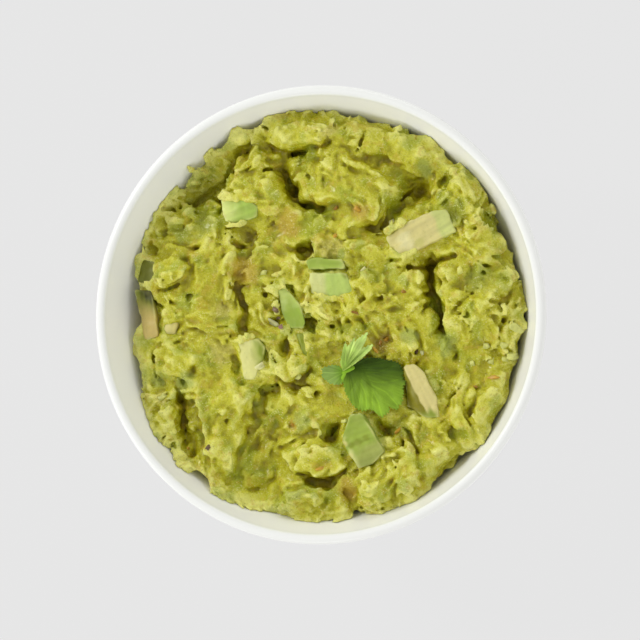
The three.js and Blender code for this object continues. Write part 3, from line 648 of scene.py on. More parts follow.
# Crumb and drawn streaks, worked into a band round the surface: wider clouds shift the places at
# which the finer ones are read, so that the crumb looks torn and not blown.
band = np.abs(field) < RELIEF_DEEP
band[:, :, zs < DEEP_Z] = False
at = np.argwhere(band).astype(np.int32)
spots = np.stack([xs[at[:, 0]], xs[at[:, 1]], zs[at[:, 2]]], 1)
rough = coarse[at[:, 0], at[:, 1]]
for size, shift, seed in ((9, 2.4, 11), (3.5, 0.9, 14)):
    spots = spots + shift * np.stack([clouds(spots, size, seed + axis) for axis in range(3)], 1)
patchy = 0.55 + 0.9 * smooth(0.5 + clouds(spots, 12, 17))
swells = 0.5 * clouds(spots, 5.5, 21) * rough
crumb = (np.abs(clouds(spots, 2.8, 22)) * 0.4 - 0.1) * (0.2 + 0.8 * rough) * patchy
fine_crumb = (np.abs(clouds(spots, 1.3, 23)) * 0.45 - 0.12) * (0.4 + 0.6 * rough)
raised = swells + crumb + fine_crumb
for turn in STREAK_TURNS:
    drawn = spots @ np.array(Matrix.Rotation(turn, 3, "Z"), F) * np.array([STREAK_PULL, 1, 1], F)
    raised += 0.6 * clouds(drawn, 1.3, 24) * smooth(clouds(spots, 13, 25 + int(9 * turn)) * 3 - 0.2)
field[band] -= raised.astype(F)

# Clefts at the wall, then the wall itself. The lowest layer is left out, which closes the underside.
bearing = np.degrees(np.arctan2(grid_y, grid_x)) + 1.6 * uneven[0].reshape(grid_x.shape)
wall = wall_radius(zs).astype(F)[None, None, :]
for middle, half, pulled, deep in CLEFTS:
    off = ((bearing - middle + 180) % 360 - 180) / half
    bottom = (edge_level(math.radians(middle)) - deep * (1 - off**2)).astype(F)
    inner = wall - F(pulled) * np.maximum(1 - off**2, 0).astype(F)[:, :, None]
    notch = np.minimum(radius[:, :, None] - inner, zs[None, None, :] - bottom[:, :, None])
    notch = np.where(np.abs(off)[:, :, None] < 1, notch, F(-9))
    field = cut(field, notch.astype(F), F(0.5))
field = np.maximum(field, radius[:, :, None] - (wall - F(WALL_GAP))).astype(F)
field[:, :, 0] = np.maximum(field[:, :, 0], F(0.3))


def pull_back(node, gap, deep):
    """Opens the mash round a solid that is pressed into it, down its sides but not its deepest part."""
    mesh = node.data
    normals = np.array([f.normal for f in mesh.polygons])
    offsets = (normals * np.array([f.center for f in mesh.polygons])).sum(1) / MM
    corners = np.array([v.co for v in mesh.vertices]) / MM
    low, high = corners.min(0), corners.max(0)
    sides = normals[:, 2] < 0.5  # all faces but the top
    parts, places = window((low + high) / 2, (high - low).max() / 2 + 2)
    reach = (np.stack(places, -1) @ normals[sides].T - offsets[sides]).max(-1)
    reach[places[2] < low[2] + deep] = 9
    field[parts] = np.maximum(field[parts], -reach.astype(F) - F(gap))


def ray_target(mesh):
    """A mesh that rays can be cast at."""
    return BVHTree.FromPolygons([v.co for v in mesh.vertices], [f.vertices for f in mesh.polygons])


def press_down(node, middle, reach, gap, margin):
    """Lowers the mash under a thin solid that lies on it, and round its outline."""
    solid = ray_target(node.data)
    ceiling = np.full(grid_x.shape, 99.0, F)
    for i, j in np.argwhere(np.hypot(grid_x - middle[0], grid_y - middle[1]) < reach):
        hit = solid.ray_cast(Vector((grid_x[i, j], grid_y[i, j], 0)) * MM, Vector((0, 0, 1)))[0]
        if hit:
            ceiling[i, j] = hit.z / MM - gap
    steps = int(margin / VOXEL) + 1
    wider = ceiling.copy()
    for i in range(-steps, steps + 1):
        for j in range(-steps, steps + 1):
            away = math.hypot(i, j) * VOXEL
            if away <= margin:
                wider = np.minimum(wider, np.roll(ceiling, (i, j), (0, 1)) + F(0.7 * away))
    np.maximum(field, (zs[None, None, :] - wider[:, :, None]) * F(0.8), out=field)


dice_names = sorted(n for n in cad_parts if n.startswith("avocado_"))
for name in dice_names:
    pull_back(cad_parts[name], gap=0.55, deep=2)
for x, y, z, *radii, turn in SMEARS:
    parts, places = window((x, y, z), max(radii) + 2)
    turn = leaning(math.radians(turn), "X", 0)
    ragged = clouds(np.stack(places, -1).reshape(-1, 3), 1.4, 19).reshape(places[0].shape)
    smear = egg(places, (x, y, z - 0.5), np.array(radii) + 0.3, turn) + F(0.8) * ragged
    field[parts] = join(field[parts], smear.astype(F), F(0.9))
press_down(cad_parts["coriander_leaf"], middle=(10, -18), reach=32, gap=0.25, margin=1.2)


def largest_shell(points, quads):
    """Only the largest connected part of a mesh."""
    label = np.arange(len(points))
    edges = np.concatenate([quads[:, [i, (i + 1) % 4]] for i in range(4)])
    while True:
        before = label.copy()
        least = np.minimum(label[edges[:, 0]], label[edges[:, 1]])
        np.minimum.at(label, edges[:, 0], least)
        np.minimum.at(label, edges[:, 1], least)
        label = label[label]
        if (label == before).all():
            break
    quads = quads[label[quads[:, 0]] == np.bincount(label).argmax()]
    used, faces = np.unique(quads, return_inverse=True)
    return points[used], faces.reshape(-1, 4)


def skin(field):
    """Points, in steps of the grid, and faces of the surface where a field is zero."""
    grid = openvdb.FloatGrid(9.0)
    grid.copyFromArray(np.ascontiguousarray(field, F))
    points, _, quads = grid.convertToPolygons(0.0, 0.0)
    return largest_shell(points, quads[:, ::-1])


def thinned(piece, triangles):
    """The piece's mesh with about this many triangles, fewest where it is flat."""
    count = sum(len(face.vertices) - 2 for face in piece.data.polygons)
    piece.modifiers.new("thin", "DECIMATE").ratio = min(1, triangles / count)
    seen = piece.evaluated_get(bpy.context.evaluated_depsgraph_get())
    mesh = bpy.data.meshes.new_from_object(seen)
    piece.modifiers.clear()
    piece.data = mesh
    mesh.shade_smooth()


def shifted(values, steps, axis):
    """A grid moved by whole steps, its edge repeated."""
    places = np.clip(np.arange(values.shape[axis]) + steps, 0, values.shape[axis] - 1)
    return np.take(values, places, axis)


def openness(field, reach, steps):
    """Above 0 on crests and below 0 in hollows of about this size."""
    values = np.clip(field, -reach, reach)
    for step in steps:
        for axis in range(3):
            values = (shifted(values, step, axis) + 2 * values + shifted(values, -step, axis)) / 4
    return values / F(reach)


def read_off(values, places):
    """Values of a grid at places given in steps of it."""
    places = np.clip(places, 0, np.array(values.shape) - 1.001)
    low = places.astype(int)
    part = places - low
    total = 0
    for corner in np.ndindex(2, 2, 2):
        share = np.prod(np.where(corner, part, 1 - part), axis=1)
        total = total + share * values[tuple((low + corner).T)]
    return total


# The mesh, with how open each point lies at two sizes, which its colour follows as painted shade in the
# hollows and painted highlight on the crests.
points, quads = skin(field)
steps_z = np.arange(len(zs))
places = np.stack([xs[0] + points[:, 0] * VOXEL, xs[0] + points[:, 1] * VOXEL,
                   np.interp(points[:, 2], steps_z, zs)], 1)
mash = new_object("guacamole_mash", places, quads)
thinned(mash, FACES)
points = np.array([v.co for v in mash.data.vertices]) / MM
on_grid = np.stack([(points[:, 0] - xs[0]) / VOXEL, (points[:, 1] - xs[0]) / VOXEL,
                    np.interp(points[:, 2], zs, steps_z)], 1)
for name, reach, steps in (("crest_fine", 1.5, (1, 1, 2)), ("crest_broad", 4.0, (1, 2, 4, 8))):
    layer = mash.data.attributes.new(name, "FLOAT", "POINT")
    layer.data.foreach_set("value", read_off(openness(field, reach, steps), on_grid).astype(F))


def paint(piece, name, colours):
    """Stores a colour for every point, as linear red, green, blue and share."""
    layer = piece.data.attributes.new(name, "FLOAT_COLOR", "POINT")
    layer.data.foreach_set("color", np.asarray(colours, F).ravel())


# Stains of riper and younger flesh, and the painted shadow of the raised leaflet, kept for the paste
stained_and_shaded = np.zeros((len(points), 4))
short = points.astype(F)
edge_noise = 0.35 * clouds(short, 2.4, 61) + 0.2 * clouds(short, 0.9, 62)
for x, y, reach, colour in STAINS_AND_SHADOW:
    share = smooth(1.5 - np.hypot(points[:, 0] - x, points[:, 1] - y) / reach + edge_noise)
    more = share[:, None] > stained_and_shaded[:, 3:]
    stained_and_shaded = np.where(more, np.append(tint(*colour)[:3], 0), stained_and_shaded)
    stained_and_shaded[:, 3] = np.where(more[:, 0], share, stained_and_shaded[:, 3])
stained_and_shaded[:, 3] *= 0.75
paint(mash, "stain", stained_and_shaded)


def paste(start):
    """Wet mash: painted shade makes it olive in its hollows and painted highlight makes it cream on its
    crests, with greener and yellower parts.
    """
    cloud = start.noise(14, 2)
    patch = start.noise(4.5, 3)
    speck = start.noise(1.3, 3, 0.65)
    grain = start.noise(0.6, 3, 0.75)
    # lift is painted shade and highlight from how open the mash lies, with random tone on top
    lift = 0.52 + 0.6 * start.attribute("crest_fine") + 1.1 * start.attribute("crest_broad")
    lift = lift + 0.5 * (speck - 0.5) + 0.2 * (patch - 0.5) + 0.25 * (cloud - 0.5)
    colour = lift.node("ValToRGB", {"stops": [
        (0.0, tint(134, 120, 0)), (0.3, tint(172, 164, 0)), (0.5, tint(196, 192, 18)),
        (0.7, tint(216, 213, 56)), (1.0, tint(240, 238, 124))]}, {"Fac": lift}, "Color")
    greener = start.noise(9, 2).between(0.5, 0.66) * 0.5
    colour = greener.mixed(colour, tint(148, 168, 24))
    riper = start.noise(3.2, 2).between(0.56, 0.66) * 0.4
    colour = riper.mixed(colour, tint(206, 176, 40))
    # The stains, with the painted shadow of the raised leaflet among them
    colour = start.attribute("stain", "Alpha").mixed(colour, start.attribute("stain", "Color"))
    # Where the painted highlight is strong: pale flecks, partly pale crumb and partly painted glint, then
    # painted glints
    lit = lift.between(0.25, 0.6)
    pale_crumb_and_glint = grain.between(0.54, 0.66) * 0.36 * lit
    colour = pale_crumb_and_glint.mixed(colour, tint(234, 231, 134))
    # Painted shade where the grain's bump is low
    pit_shade = (1 - grain).between(0.54, 0.68) * 0.4
    colour = pit_shade.mixed(colour, tint(116, 108, 0))
    glints = start.noise(0.6, 2, 0.6).between(0.57, 0.66) * patch.between(0.46, 0.6)
    colour = (glints * 0.4 * lit).mixed(colour, tint(248, 246, 172))
    return start.node("BsdfPrincipled", {}, {
        "Base Color": colour, "Roughness": 0.14 + 0.18 * speck,
        "Normal": (speck + 0.9 * grain).bumped(1.0, 0.6),
        "Specular IOR Level": 0.42, "Coat Weight": 0.2, "Coat Roughness": 0.12,
        "Subsurface Weight": 0.1, "Subsurface Radius": (2.0, 1.6, 0.2), "Subsurface Scale": 0.5 * MM})


mash.data.materials.append(finish("mashed_avocado", paste))
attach(mash, "root")
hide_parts("guacamole")

# ---------------------------------------------------------------- diced avocado
# Twelve pieces of firm avocado, cut with a knife and folded into the mash. The flesh is green next
# to the skin and cream next to the stone. The cuts are flat, and their edges are worn soft.
DIE_VOXEL = 0.32              # step of the grid that a die is modelled on
DIE_MARGIN = 1.5              # that grid reaches this far past the die
DENTS = [(0.2, 3.4, 31), (0.12, 1.3, 32)]  # depth, size and seed of what the knife left uneven
EDGE_WIDTH = 0.5              # how far the painted highlight on the edges reaches
EDGE_HIGHLIGHT = (222, 220, 144)
# For each die: the bearing from its first to its second colour in degrees, where between them the
# colour turns (-1 to 1), over what share of its size, the two colours, and how its fibres run.
FLESH = {
    "avocado_die_back_left": (-5, -0.3, 1.2, (220, 230, 136), (164, 190, 80), 20),
    "avocado_die_centre_back": (100, -0.9, 0.6, (140, 162, 56), (156, 178, 70), 0),
    "avocado_die_centre_front": (5, -0.3, 0.3, (212, 216, 138), (182, 202, 102), 100),
    "avocado_strip_centre_left": (120, 0.1, 0.9, (146, 170, 58), (176, 192, 94), 120),
    "avocado_sliver_centre_left": (10, -0.1, 0.3, (184, 196, 92), (134, 146, 28), 110),
    "avocado_die_left": (15, 0.1, 0.6, (216, 214, 134), (160, 168, 78), 105),
    "avocado_chunk_back_right": (15, 0.5, 0.2, (218, 207, 136), (202, 208, 124), 30),
    "avocado_strip_left_wall": (95, 0.2, 1.2, (206, 184, 108), (120, 128, 38), 95),
    "avocado_die_left_wall": (90, -0.6, 0.8, (108, 116, 26), (116, 120, 32), 60),
    "avocado_bit_left_wall": (0, 0.2, 1.0, (230, 220, 138), (216, 202, 118), 90),
    "avocado_chunk_right": (27, 0.0, 0.08, (130, 124, 22), (212, 200, 130), -65),
    "avocado_die_front": (-60, 0.35, 0.3, (152, 172, 66), (156, 165, 80), 20),
}
UNDER_SKIN = (136, 150, 46)   # green flesh that lay next to the skin
PALE_CUT = (206, 200, 118)
NEAR_STONE = (232, 224, 162)
IN_SHADE = (56, 58, 6)        # flesh in the shade of the wall
# Where a die has one of these colours: centre x, y, radius, colour.
PATCHES = {
    "avocado_chunk_right": [(37, -33.6, 2.8, UNDER_SKIN), (32, -34, 2.0, UNDER_SKIN)],
    "avocado_die_left": [(-19.5, -12, 2.2, UNDER_SKIN)],
    "avocado_die_front": [
        (12.6, -42, 1.5, UNDER_SKIN), (15, -40, 1.3, UNDER_SKIN), (10.3, -43, 1.2, UNDER_SKIN),
        (7.6, -42, 1.2, PALE_CUT), (9.6, -46.5, 1.2, PALE_CUT)],
    "avocado_chunk_back_right": [(28, 24, 2.6, NEAR_STONE), (33, 23, 1.6, PALE_CUT)],
    "avocado_die_back_left": [(-34, 34, 1.5, PALE_CUT)],
    "avocado_die_centre_front": [(8.5, 14, 1.8, UNDER_SKIN)],
    "avocado_strip_left_wall": [(-59, 9, 3.8, IN_SHADE)],
}
# Sides that slope enough to be seen from above: two points on the upper edge, with the flesh on
# the right, the level there, and how steeply the side falls, in degrees.
SLOPES = {
    "avocado_chunk_right": ((35.8, -33.6), (27.0, -16.4), 54.9, 38),
    "avocado_die_left": ((-25.4, -21.6), (-26.6, -8.0), 54.0, 30),
    "avocado_die_front": ((12.6, -49.6), (7.6, -40.6), 54.3, 40),
    "avocado_die_back_left": ((-31.8, 31.0), (-33.4, 38.9), 54.6, 35),
}


def worn_die(node, slope):
    """Points and faces of a solid die with soft edges and uneven faces, and how near an edge each is."""
    mesh = node.data
    normals = [f.normal for f in mesh.polygons]
    centres = [Vector(f.center) / MM for f in mesh.polygons]
    if slope:
        (ax, ay), (bx, by), level, fall = slope
        out = Vector((ay - by, bx - ax, 0)).normalized()
        fall = math.radians(fall)
        normals.append(out * math.sin(fall) + Vector((0, 0, math.cos(fall))))
        centres.append(Vector((ax, ay, level)))
    normals, centres = np.array(normals), np.array(centres)
    offsets = (normals * centres).sum(1)
    corners = np.array([v.co for v in mesh.vertices]) / MM
    low, high = corners.min(0) - DIE_MARGIN, corners.max(0) + DIE_MARGIN
    axes = [np.arange(a, b, DIE_VOXEL) for a, b in zip(low, high)]
    places = np.stack(np.meshgrid(*axes, indexing="ij"), -1)
    depth = (places @ normals.T - offsets).max(-1)
    flat = places.reshape(-1, 3).astype(F)
    dents = sum(deep * clouds(flat, size, seed) for deep, size, seed in DENTS)
    for axis in range(3):
        depth = (np.roll(depth, 1, axis) + 2 * depth + np.roll(depth, -1, axis)) / 4
    grid = openvdb.FloatGrid(9.0)
    grid.copyFromArray(np.ascontiguousarray(depth + 0.1 + dents.reshape(depth.shape), F))
    points, _, quads = grid.convertToPolygons(0.0, 0.0)
    points = points * DIE_VOXEL + low
    # An edge is near where a second face, turned well away from the nearest one, is near too.
    away = offsets - points @ normals.T
    alike = normals @ normals.T > 0.85
    away[alike[away.argmin(1)]] = 9
    return points, quads[:, ::-1], np.exp(-(away.min(1) / EDGE_WIDTH) ** 2)


def flesh(start):
    """Firm avocado: waxy, with faint clouds and darker pores."""
    cloud = start.noise(4.5, 3)
    grain = start.noise(0.8, 3, 0.6, (1.0, 1.0, 0.4))
    colour = start.attribute("flesh_colour", "Color")
    paler = cloud.between(0.45, 0.75) * 0.12
    colour = paler.mixed(colour, tint(220, 218, 140))
    pores = grain.between(0.55, 0.8) * 0.3
    colour = pores.mixed(colour, tint(140, 150, 52))
    return start.node("BsdfPrincipled", {}, {
        "Base Color": colour, "Roughness": 0.3 + 0.16 * grain,
        "Normal": grain.bumped(0.6, 0.2), "Specular IOR Level": 0.3,
        "Subsurface Weight": 0.15, "Subsurface Radius": (1.6, 1.4, 0.5), "Subsurface Scale": 0.6 * MM})


def flesh_colours(name, points, edge):
    """Colour of a die at its points, drawn along its fibres, with a painted highlight on its edges."""
    bearing, turn_at, width, first, second, fibres = FLESH[name]
    short = points.astype(F)
    towards = np.array([math.cos(math.radians(bearing)), math.sin(math.radians(bearing)), 0.0])
    along = points @ towards
    along = 2 * (along - along.min()) / (along.max() - along.min()) - 1
    along += 0.12 * clouds(short, 3, 33)
    share = smooth((along - turn_at) / width + 0.5)[:, None]
    colour = np.array(tint(*first)) * (1 - share) + np.array(tint(*second)) * share
    drawn = points @ np.array(Matrix.Rotation(math.radians(fibres), 3, "Z")) * (0.12, 1, 0.3)
    streak = clouds(drawn.astype(F), 0.9, 34) + 0.7 * clouds(drawn.astype(F), 2.2, 35)
    for x, y, reach, patch in PATCHES.get(name, []):
        far = np.hypot(points[:, 0] - x, points[:, 1] - y) / reach + 0.25 * streak
        near = smooth(1.4 - far)[:, None]
        colour = colour * (1 - near) + np.array(tint(*patch)) * near
    colour = colour * (1 + 0.07 * streak[:, None])
    # Painted highlight along the edges, in patches
    edge_highlight = 0.6 * edge * smooth(0.6 + 1.4 * clouds(short, 2.5, 36))
    return colour + (np.array(tint(*EDGE_HIGHLIGHT)) - colour) * edge_highlight[:, None]


cut_flesh = finish("cut_avocado", flesh)
for name in dice_names:
    points, quads, edge = worn_die(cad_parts[name], SLOPES.get(name))
    die = new_object(name.replace("avocado", "diced"), points, quads)
    paint(die, "flesh_colour", flesh_colours(name, points, edge))
    die.data.materials.append(cut_flesh)
    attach(die, "root")
    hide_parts(name)

# ---------------------------------------------------------------- coriander leaf
# One fresh leaf of three leaflets on a short stem, laid on the mash. Each leaflet is a fan about
# its own foot with a finely toothed outline. Veins run to its lobes, and the blade swells between.
BLADE = 0.7                   # room that the blade takes up
THICK = 0.35                  # the blade itself, at the top of that room
STEM_Z = 54.1                 # level of the joint of the three leaflets
LEAF_LIFT = 0.6               # least gap between that room and the mash's mounds
VEIN = 0.2                    # half width of a vein
SWELL = 0.45                  # how far the blade swells between the veins
QUILT = 2.2                   # size of the uneven places on it
RIB_ANGLE = 2.6               # width in degrees of the fine ribs that run outwards
TOOTH = 1.15                  # pitch of the teeth
RAY_STEP = 0.12               # between the points of an outline
ROWS = 26                     # rows of points from foot to outline
# For each leaflet: foot, level at the foot and rise to the tip, cupping, depth of a tooth, then the
# outline as bearing and reach, the paths of the veins, and its greens: the bearing along which the
# first turns into the second, how far from the foot that is half done, over what length, and both.
# The first leaflet's first green is painted shadow, cast by the raised leaflet above it.
LEAFLETS = [
    {"foot": (9.6, -17.4), "base": 0, "rise": 0.3, "cup": 0.9, "tooth": 1.0,
     "outline": [
         (34, 5.0), (20, 9.2), (11, 12.6), (6, 16.0), (-3, 18.0), (-9, 17.9), (-14, 19.2), (-21, 19.2),
         (-31, 20.7), (-41, 21.2), (-44, 18.7), (-49, 19.8), (-57, 19.5), (-60, 16.4), (-65, 15.2),
         (-75, 14.9), (-85, 12.6), (-92, 10.2), (-103, 7.6), (-113, 5.4), (-124, 3.0)],
     "veins": [
         [(9.6, -17.4), (13.5, -16.4), (15.4, -19.6), (17.3, -23.3), (17.1, -28), (17.2, -32)],
         [(16.4, -21.6), (19, -22.3), (22.5, -22.1), (27.6, -20.9)],
         [(17.2, -23.3), (21.6, -25.4), (25.4, -29.6)], [(17.3, -25), (19.2, -29), (20.2, -33)],
         [(13.6, -17), (13.8, -20), (13.4, -25), (12.6, -30.4)], [(13.7, -19.4), (11.4, -23), (9.6, -25.6)],
         [(15.2, -19), (19, -19), (24, -17)], [(13.6, -23), (15, -26.4), (15.2, -30)]],
     # Its dark first green is the painted shadow of the raised leaflet.
     "greens_and_shade": (-90, 5, 11, (56, 80, 6), (132, 166, 44))},
    {"foot": (7.4, -18.6), "base": 0.5, "rise": 3.2, "cup": 0.5, "tooth": 0.6,
     "outline": [
         (96, 2.4), (87, 6.0), (82, 9.8), (77, 8.2), (72, 9.2), (67.5, 11.8), (64, 10.6), (61, 12.4),
         (55, 15.6), (51, 13.2), (47, 9.8), (43, 12.2), (39.5, 13.8), (36, 12.6), (33, 9.6), (29, 6.0),
         (24, 3.0)],
     "veins": [
         [(7.4, -18.6), (11.2, -13.4), (16.2, -6.0)], [(8.4, -17.2), (9, -9)], [(9.4, -15.8), (12, -7.8)],
         [(7.4, -18.6), (12.8, -14.2), (18, -9.8)]],
     "greens_and_shade": (55, 8, 8, (184, 212, 100), (200, 224, 124))},
    {"foot": (8.0, -18.8), "base": 0, "rise": 0.2, "cup": 0.4, "tooth": 0.6,
     "outline": [
         (268, 2.6), (252, 4.0), (228, 5.6), (214, 6.5), (207, 6.6), (201, 7.3), (187, 8.0), (180, 7.7),
         (173, 8.1), (162, 6.4), (145, 4.0), (132, 2.6)],
     "veins": [
         [(8, -18.8), (4, -19.2), (0.2, -18.8)], [(8, -18.8), (4.4, -20.6), (2, -22)],
         [(7.9, -19), (6.4, -22.6)]],
     "greens_and_shade": (190, 2.5, 4, (116, 156, 32), (136, 164, 76))},
]
# Stems: end, start, radius.
STEMS = [
    ((8.4, -18.9, STEM_Z - 0.15), (7.0, -21.2, STEM_Z - 0.4), 0.75),
    ((7.2, -19.3, STEM_Z + 0.1), (11.2, -17.2, STEM_Z + 0.1), 0.7),
]
STEM_GREEN = (140, 184, 44)
STEM_SIDES, STEM_STEPS = 14, 8


def outline_of(leaflet):
    """Bearings and points of a leaflet's outline at even steps, with teeth that stand square to it."""
    bearings, reaches = zip(*sorted(leaflet["outline"]))
    bearing = np.linspace(bearings[0], bearings[-1], 4000)
    reach = np.interp(bearing, bearings, reaches)
    line = np.stack([reach * np.cos(np.radians(bearing)), reach * np.sin(np.radians(bearing))])
    along = np.cumsum(np.hypot(*np.gradient(line, axis=1)))
    steps = np.arange(along[0], along[-1], RAY_STEP)[::-1]
    behind, here, ahead = (np.stack([np.interp(steps + s, along, c) for c in line]) for s in (-0.8, 0, 0.8))
    way = (ahead - behind) / np.linalg.norm(ahead - behind, axis=0)
    turn = steps / TOOTH + 0.25 * np.sin(steps * 0.7)
    notch = np.interp(turn - np.floor(turn), (0, 0.4, 1), (1, 0, 1)) * (0.75 + 0.25 * np.sin(steps * 1.9))
    here = here + leaflet["tooth"] * (0.25 - notch) * np.stack([way[1], -way[0]])
    return np.interp(steps, along, bearing), here


def blade_level(leaflet, x, y, share, bearing):
    """Level of the middle of the blade, cupped between its lobes and nowhere below the mash."""
    first, last = leaflet["outline"][0][0], leaflet["outline"][-1][0]
    side = (2 * bearing - first - last) / abs(first - last)
    lifted = leaflet["base"] + leaflet["rise"] * share**1.2
    cupped = leaflet["cup"] * (0.6 * np.cos(side * 5.2) - 0.5) * share
    own = STEM_Z + lifted + cupped - 0.5 * share * share
    return np.maximum(own, mash_level(x, y) + BLADE / 2 + LEAF_LIFT)


def clouds_over(x, y, size, seed):
    """Clouds read on a flat sheet of places."""
    places = np.stack([x, y, 0 * x], -1)
    return clouds(places.reshape(-1, 3).astype(F), size, seed).reshape(x.shape)


def greens_and_shade_at(leaflet, x, y):
    """Colour of a blade at each place, as its first green turns into its second; on the first leaflet the
    first green is painted shadow.
    """
    bearing, half_way, length, first, second = leaflet["greens_and_shade"]
    foot_x, foot_y = leaflet["foot"]
    bearing = math.radians(bearing)
    along = (x - foot_x) * math.cos(bearing) + (y - foot_y) * math.sin(bearing)
    share = smooth((along - half_way) / length + 0.5)[..., None]
    return np.array(tint(*first)) * (1 - share) + np.array(tint(*second)) * share


def fan_faces(n):
    """Faces of a fan of n rays: its top, its underside and the rim round them."""
    under = ROWS * n
    up_foot, low_foot = 2 * under, 2 * under + 1
    faces = []
    for i in range(n - 1):
        faces += [(up_foot, i + 1, i), (low_foot, under + i, under + i + 1)]
        outer = (ROWS - 1) * n + i
        faces.append((outer, outer + 1, under + outer + 1, under + outer))
        for a in range(i, outer, n):
            b = a + n
            faces += [(a, a + 1, b + 1, b), (under + a, under + b, under + b + 1, under + a + 1)]
    for j in range(ROWS):
        for edge, flip in ((j * n, False), (j * n + n - 1, True)):
            inner = up_foot if j == 0 else edge - n
            inner_low = low_foot if j == 0 else under + edge - n
            ring = (inner, edge, under + edge, inner_low)
            faces.append(ring[::-1] if flip else ring)
    return faces


def leaflet_mesh(leaflet):
    """Points, faces and colours of one leaflet, as rays from its foot to its outline."""
    first, last = leaflet["outline"][0][0], leaflet["outline"][-1][0]
    bearing, rim = outline_of(leaflet)
    bearing, share = np.meshgrid(bearing, np.linspace(0, 1, ROWS + 1)[1:])
    x, y = (foot + share * line for foot, line in zip(leaflet["foot"], rim))
    ribs = clouds_over(bearing / RIB_ANGLE, 0.5 * share, 1, 42) * smooth(2 * share)
    quilt = clouds_over(x, y, QUILT, 41)
    near = np.min([path_distance(x, y, path) for path in leaflet["veins"]], axis=0)
    vein = np.exp(-(near / VEIN) ** 2)
    swell = SWELL * smooth(near / 1.8) * smooth(share * 2) + 0.14 * quilt * share + 0.07 * ribs
    top = blade_level(leaflet, x, y, share, bearing) + BLADE / 2 + swell - 0.25
    upper = np.stack([x, y, top], -1).reshape(-1, 3)
    lower = np.stack([x, y, top - THICK * (1 - 0.5 * share)], -1).reshape(-1, 3)
    at_foot = (*leaflet["foot"], 0.0, (first + last) / 2)
    middle = np.array([(*leaflet["foot"], blade_level(leaflet, *map(np.asarray, at_foot)))])
    points = np.concatenate([upper, lower, middle + (0, 0, BLADE / 2), middle + (0, 0, BLADE / 2 - THICK)])
    lighter = 1 + 0.3 * vein * smooth(3 * share)
    # Uneven tone, and painted shading of the swells and ribs: the blade is lighter where they stand higher
    colour = greens_and_shade_at(leaflet, x, y) * (1 + 0.15 * quilt + 0.1 * ribs)[..., None]
    colour = (colour * lighter[..., None]).reshape(-1, 4)
    colours = np.concatenate([colour, colour, colour[:1], colour[:1]])
    return points, fan_faces(x.shape[1]), colours


def stem_mesh(end, start, radius):
    """Points, faces and colours of a slightly tapered stem with rounded ends."""
    end, start = Vector(end), Vector(start)
    along = (end - start).normalized()
    across = along.cross(Vector((0, 0, 1))).normalized()
    over = across.cross(along)
    points, faces = [], []
    for k in range(STEM_STEPS + 1):
        share = k / STEM_STEPS
        round_end = math.sin(math.acos(max(0.0, 1 - 6 * min(share, 1 - share) - 0.2)))
        r = radius * (1 - 0.15 * share) * round_end
        for i in range(STEM_SIDES):
            a = 2 * math.pi * i / STEM_SIDES
            points.append(start.lerp(end, share) + (across * math.cos(a) + over * math.sin(a)) * r)
    for low in range(0, STEM_STEPS * STEM_SIDES, STEM_SIDES):
        high = low + STEM_SIDES
        for i in range(STEM_SIDES):
            j = (i + 1) % STEM_SIDES
            faces.append((low + i, low + j, high + j, high + i))
    last = STEM_STEPS * STEM_SIDES
    faces += [tuple(range(STEM_SIDES))[::-1], tuple(range(last, last + STEM_SIDES))]
    return np.array(points), faces, np.tile(tint(*STEM_GREEN), (len(points), 1))


def blade(start):
    """Fresh leaf: satin, with a fine darker fibre."""
    fibre = start.noise(0.5, 3, 0.6)
    colour = start.attribute("leaf_colour", "Color")
    darker = fibre.between(0.4, 0.8) * 0.15
    colour = darker.mixed(colour, tint(84, 122, 16))
    return start.node("BsdfPrincipled", {}, {
        "Base Color": colour, "Roughness": 0.42 + 0.14 * fibre,
        "Normal": fibre.bumped(0.3, 0.1), "Specular IOR Level": 0.18,
        "Subsurface Weight": 0.05, "Subsurface Radius": (0.6, 1.0, 0.2), "Subsurface Scale": 0.3 * MM})


points, faces, colours = [], [], []
for part in [*map(leaflet_mesh, LEAFLETS), *(stem_mesh(*stem) for stem in STEMS)]:
    before = sum(map(len, points))
    points.append(part[0])
    faces += [tuple(int(v) + before for v in face) for face in part[1]]
    colours.append(part[2])
leaf = new_object("coriander_sprig", np.concatenate(points), faces)
paint(leaf, "leaf_colour", np.concatenate(colours))
leaf.data.materials.append(finish("coriander_green", blade))
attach(leaf, "root")
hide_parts("coriander_leaf")

# ---------------------------------------------------------------- chopped onion
# Red onion, chopped fine and stirred in. Few bits show, most of them left of the middle, and the
# paste holds them by their undersides.
PURPLE_SKIN = (112, 88, 62)
PINK_RING = (166, 128, 116)
PALE_RING = (188, 188, 130)
# For each: centre x, y, half lengths, height, turn of the long axis, colour.
ONION = [
    (-15.2, 1.4, 1.5, 1.0, 0.7, 60, PURPLE_SKIN), (-14.4, -0.6, 1.0, 0.8, 0.6, 0, PURPLE_SKIN),
    (-13.2, -3.8, 1.2, 0.6, 0.6, 30, PINK_RING), (-17.0, -2.6, 2.3, 1.7, 0.7, -20, PALE_RING),
    (33.6, -12.6, 1.1, 0.8, 0.6, 10, PALE_RING), (-37.3, -43.6, 0.9, 0.7, 0.6, 0, PURPLE_SKIN),
    (31.6, -12.2, 0.7, 0.5, 0.5, 60, PURPLE_SKIN),
]
BALL = lathe([(math.sin(a), -math.cos(a)) for a in np.linspace(0, math.pi, 17)], 24)
mash_top = ray_target(mash.data)


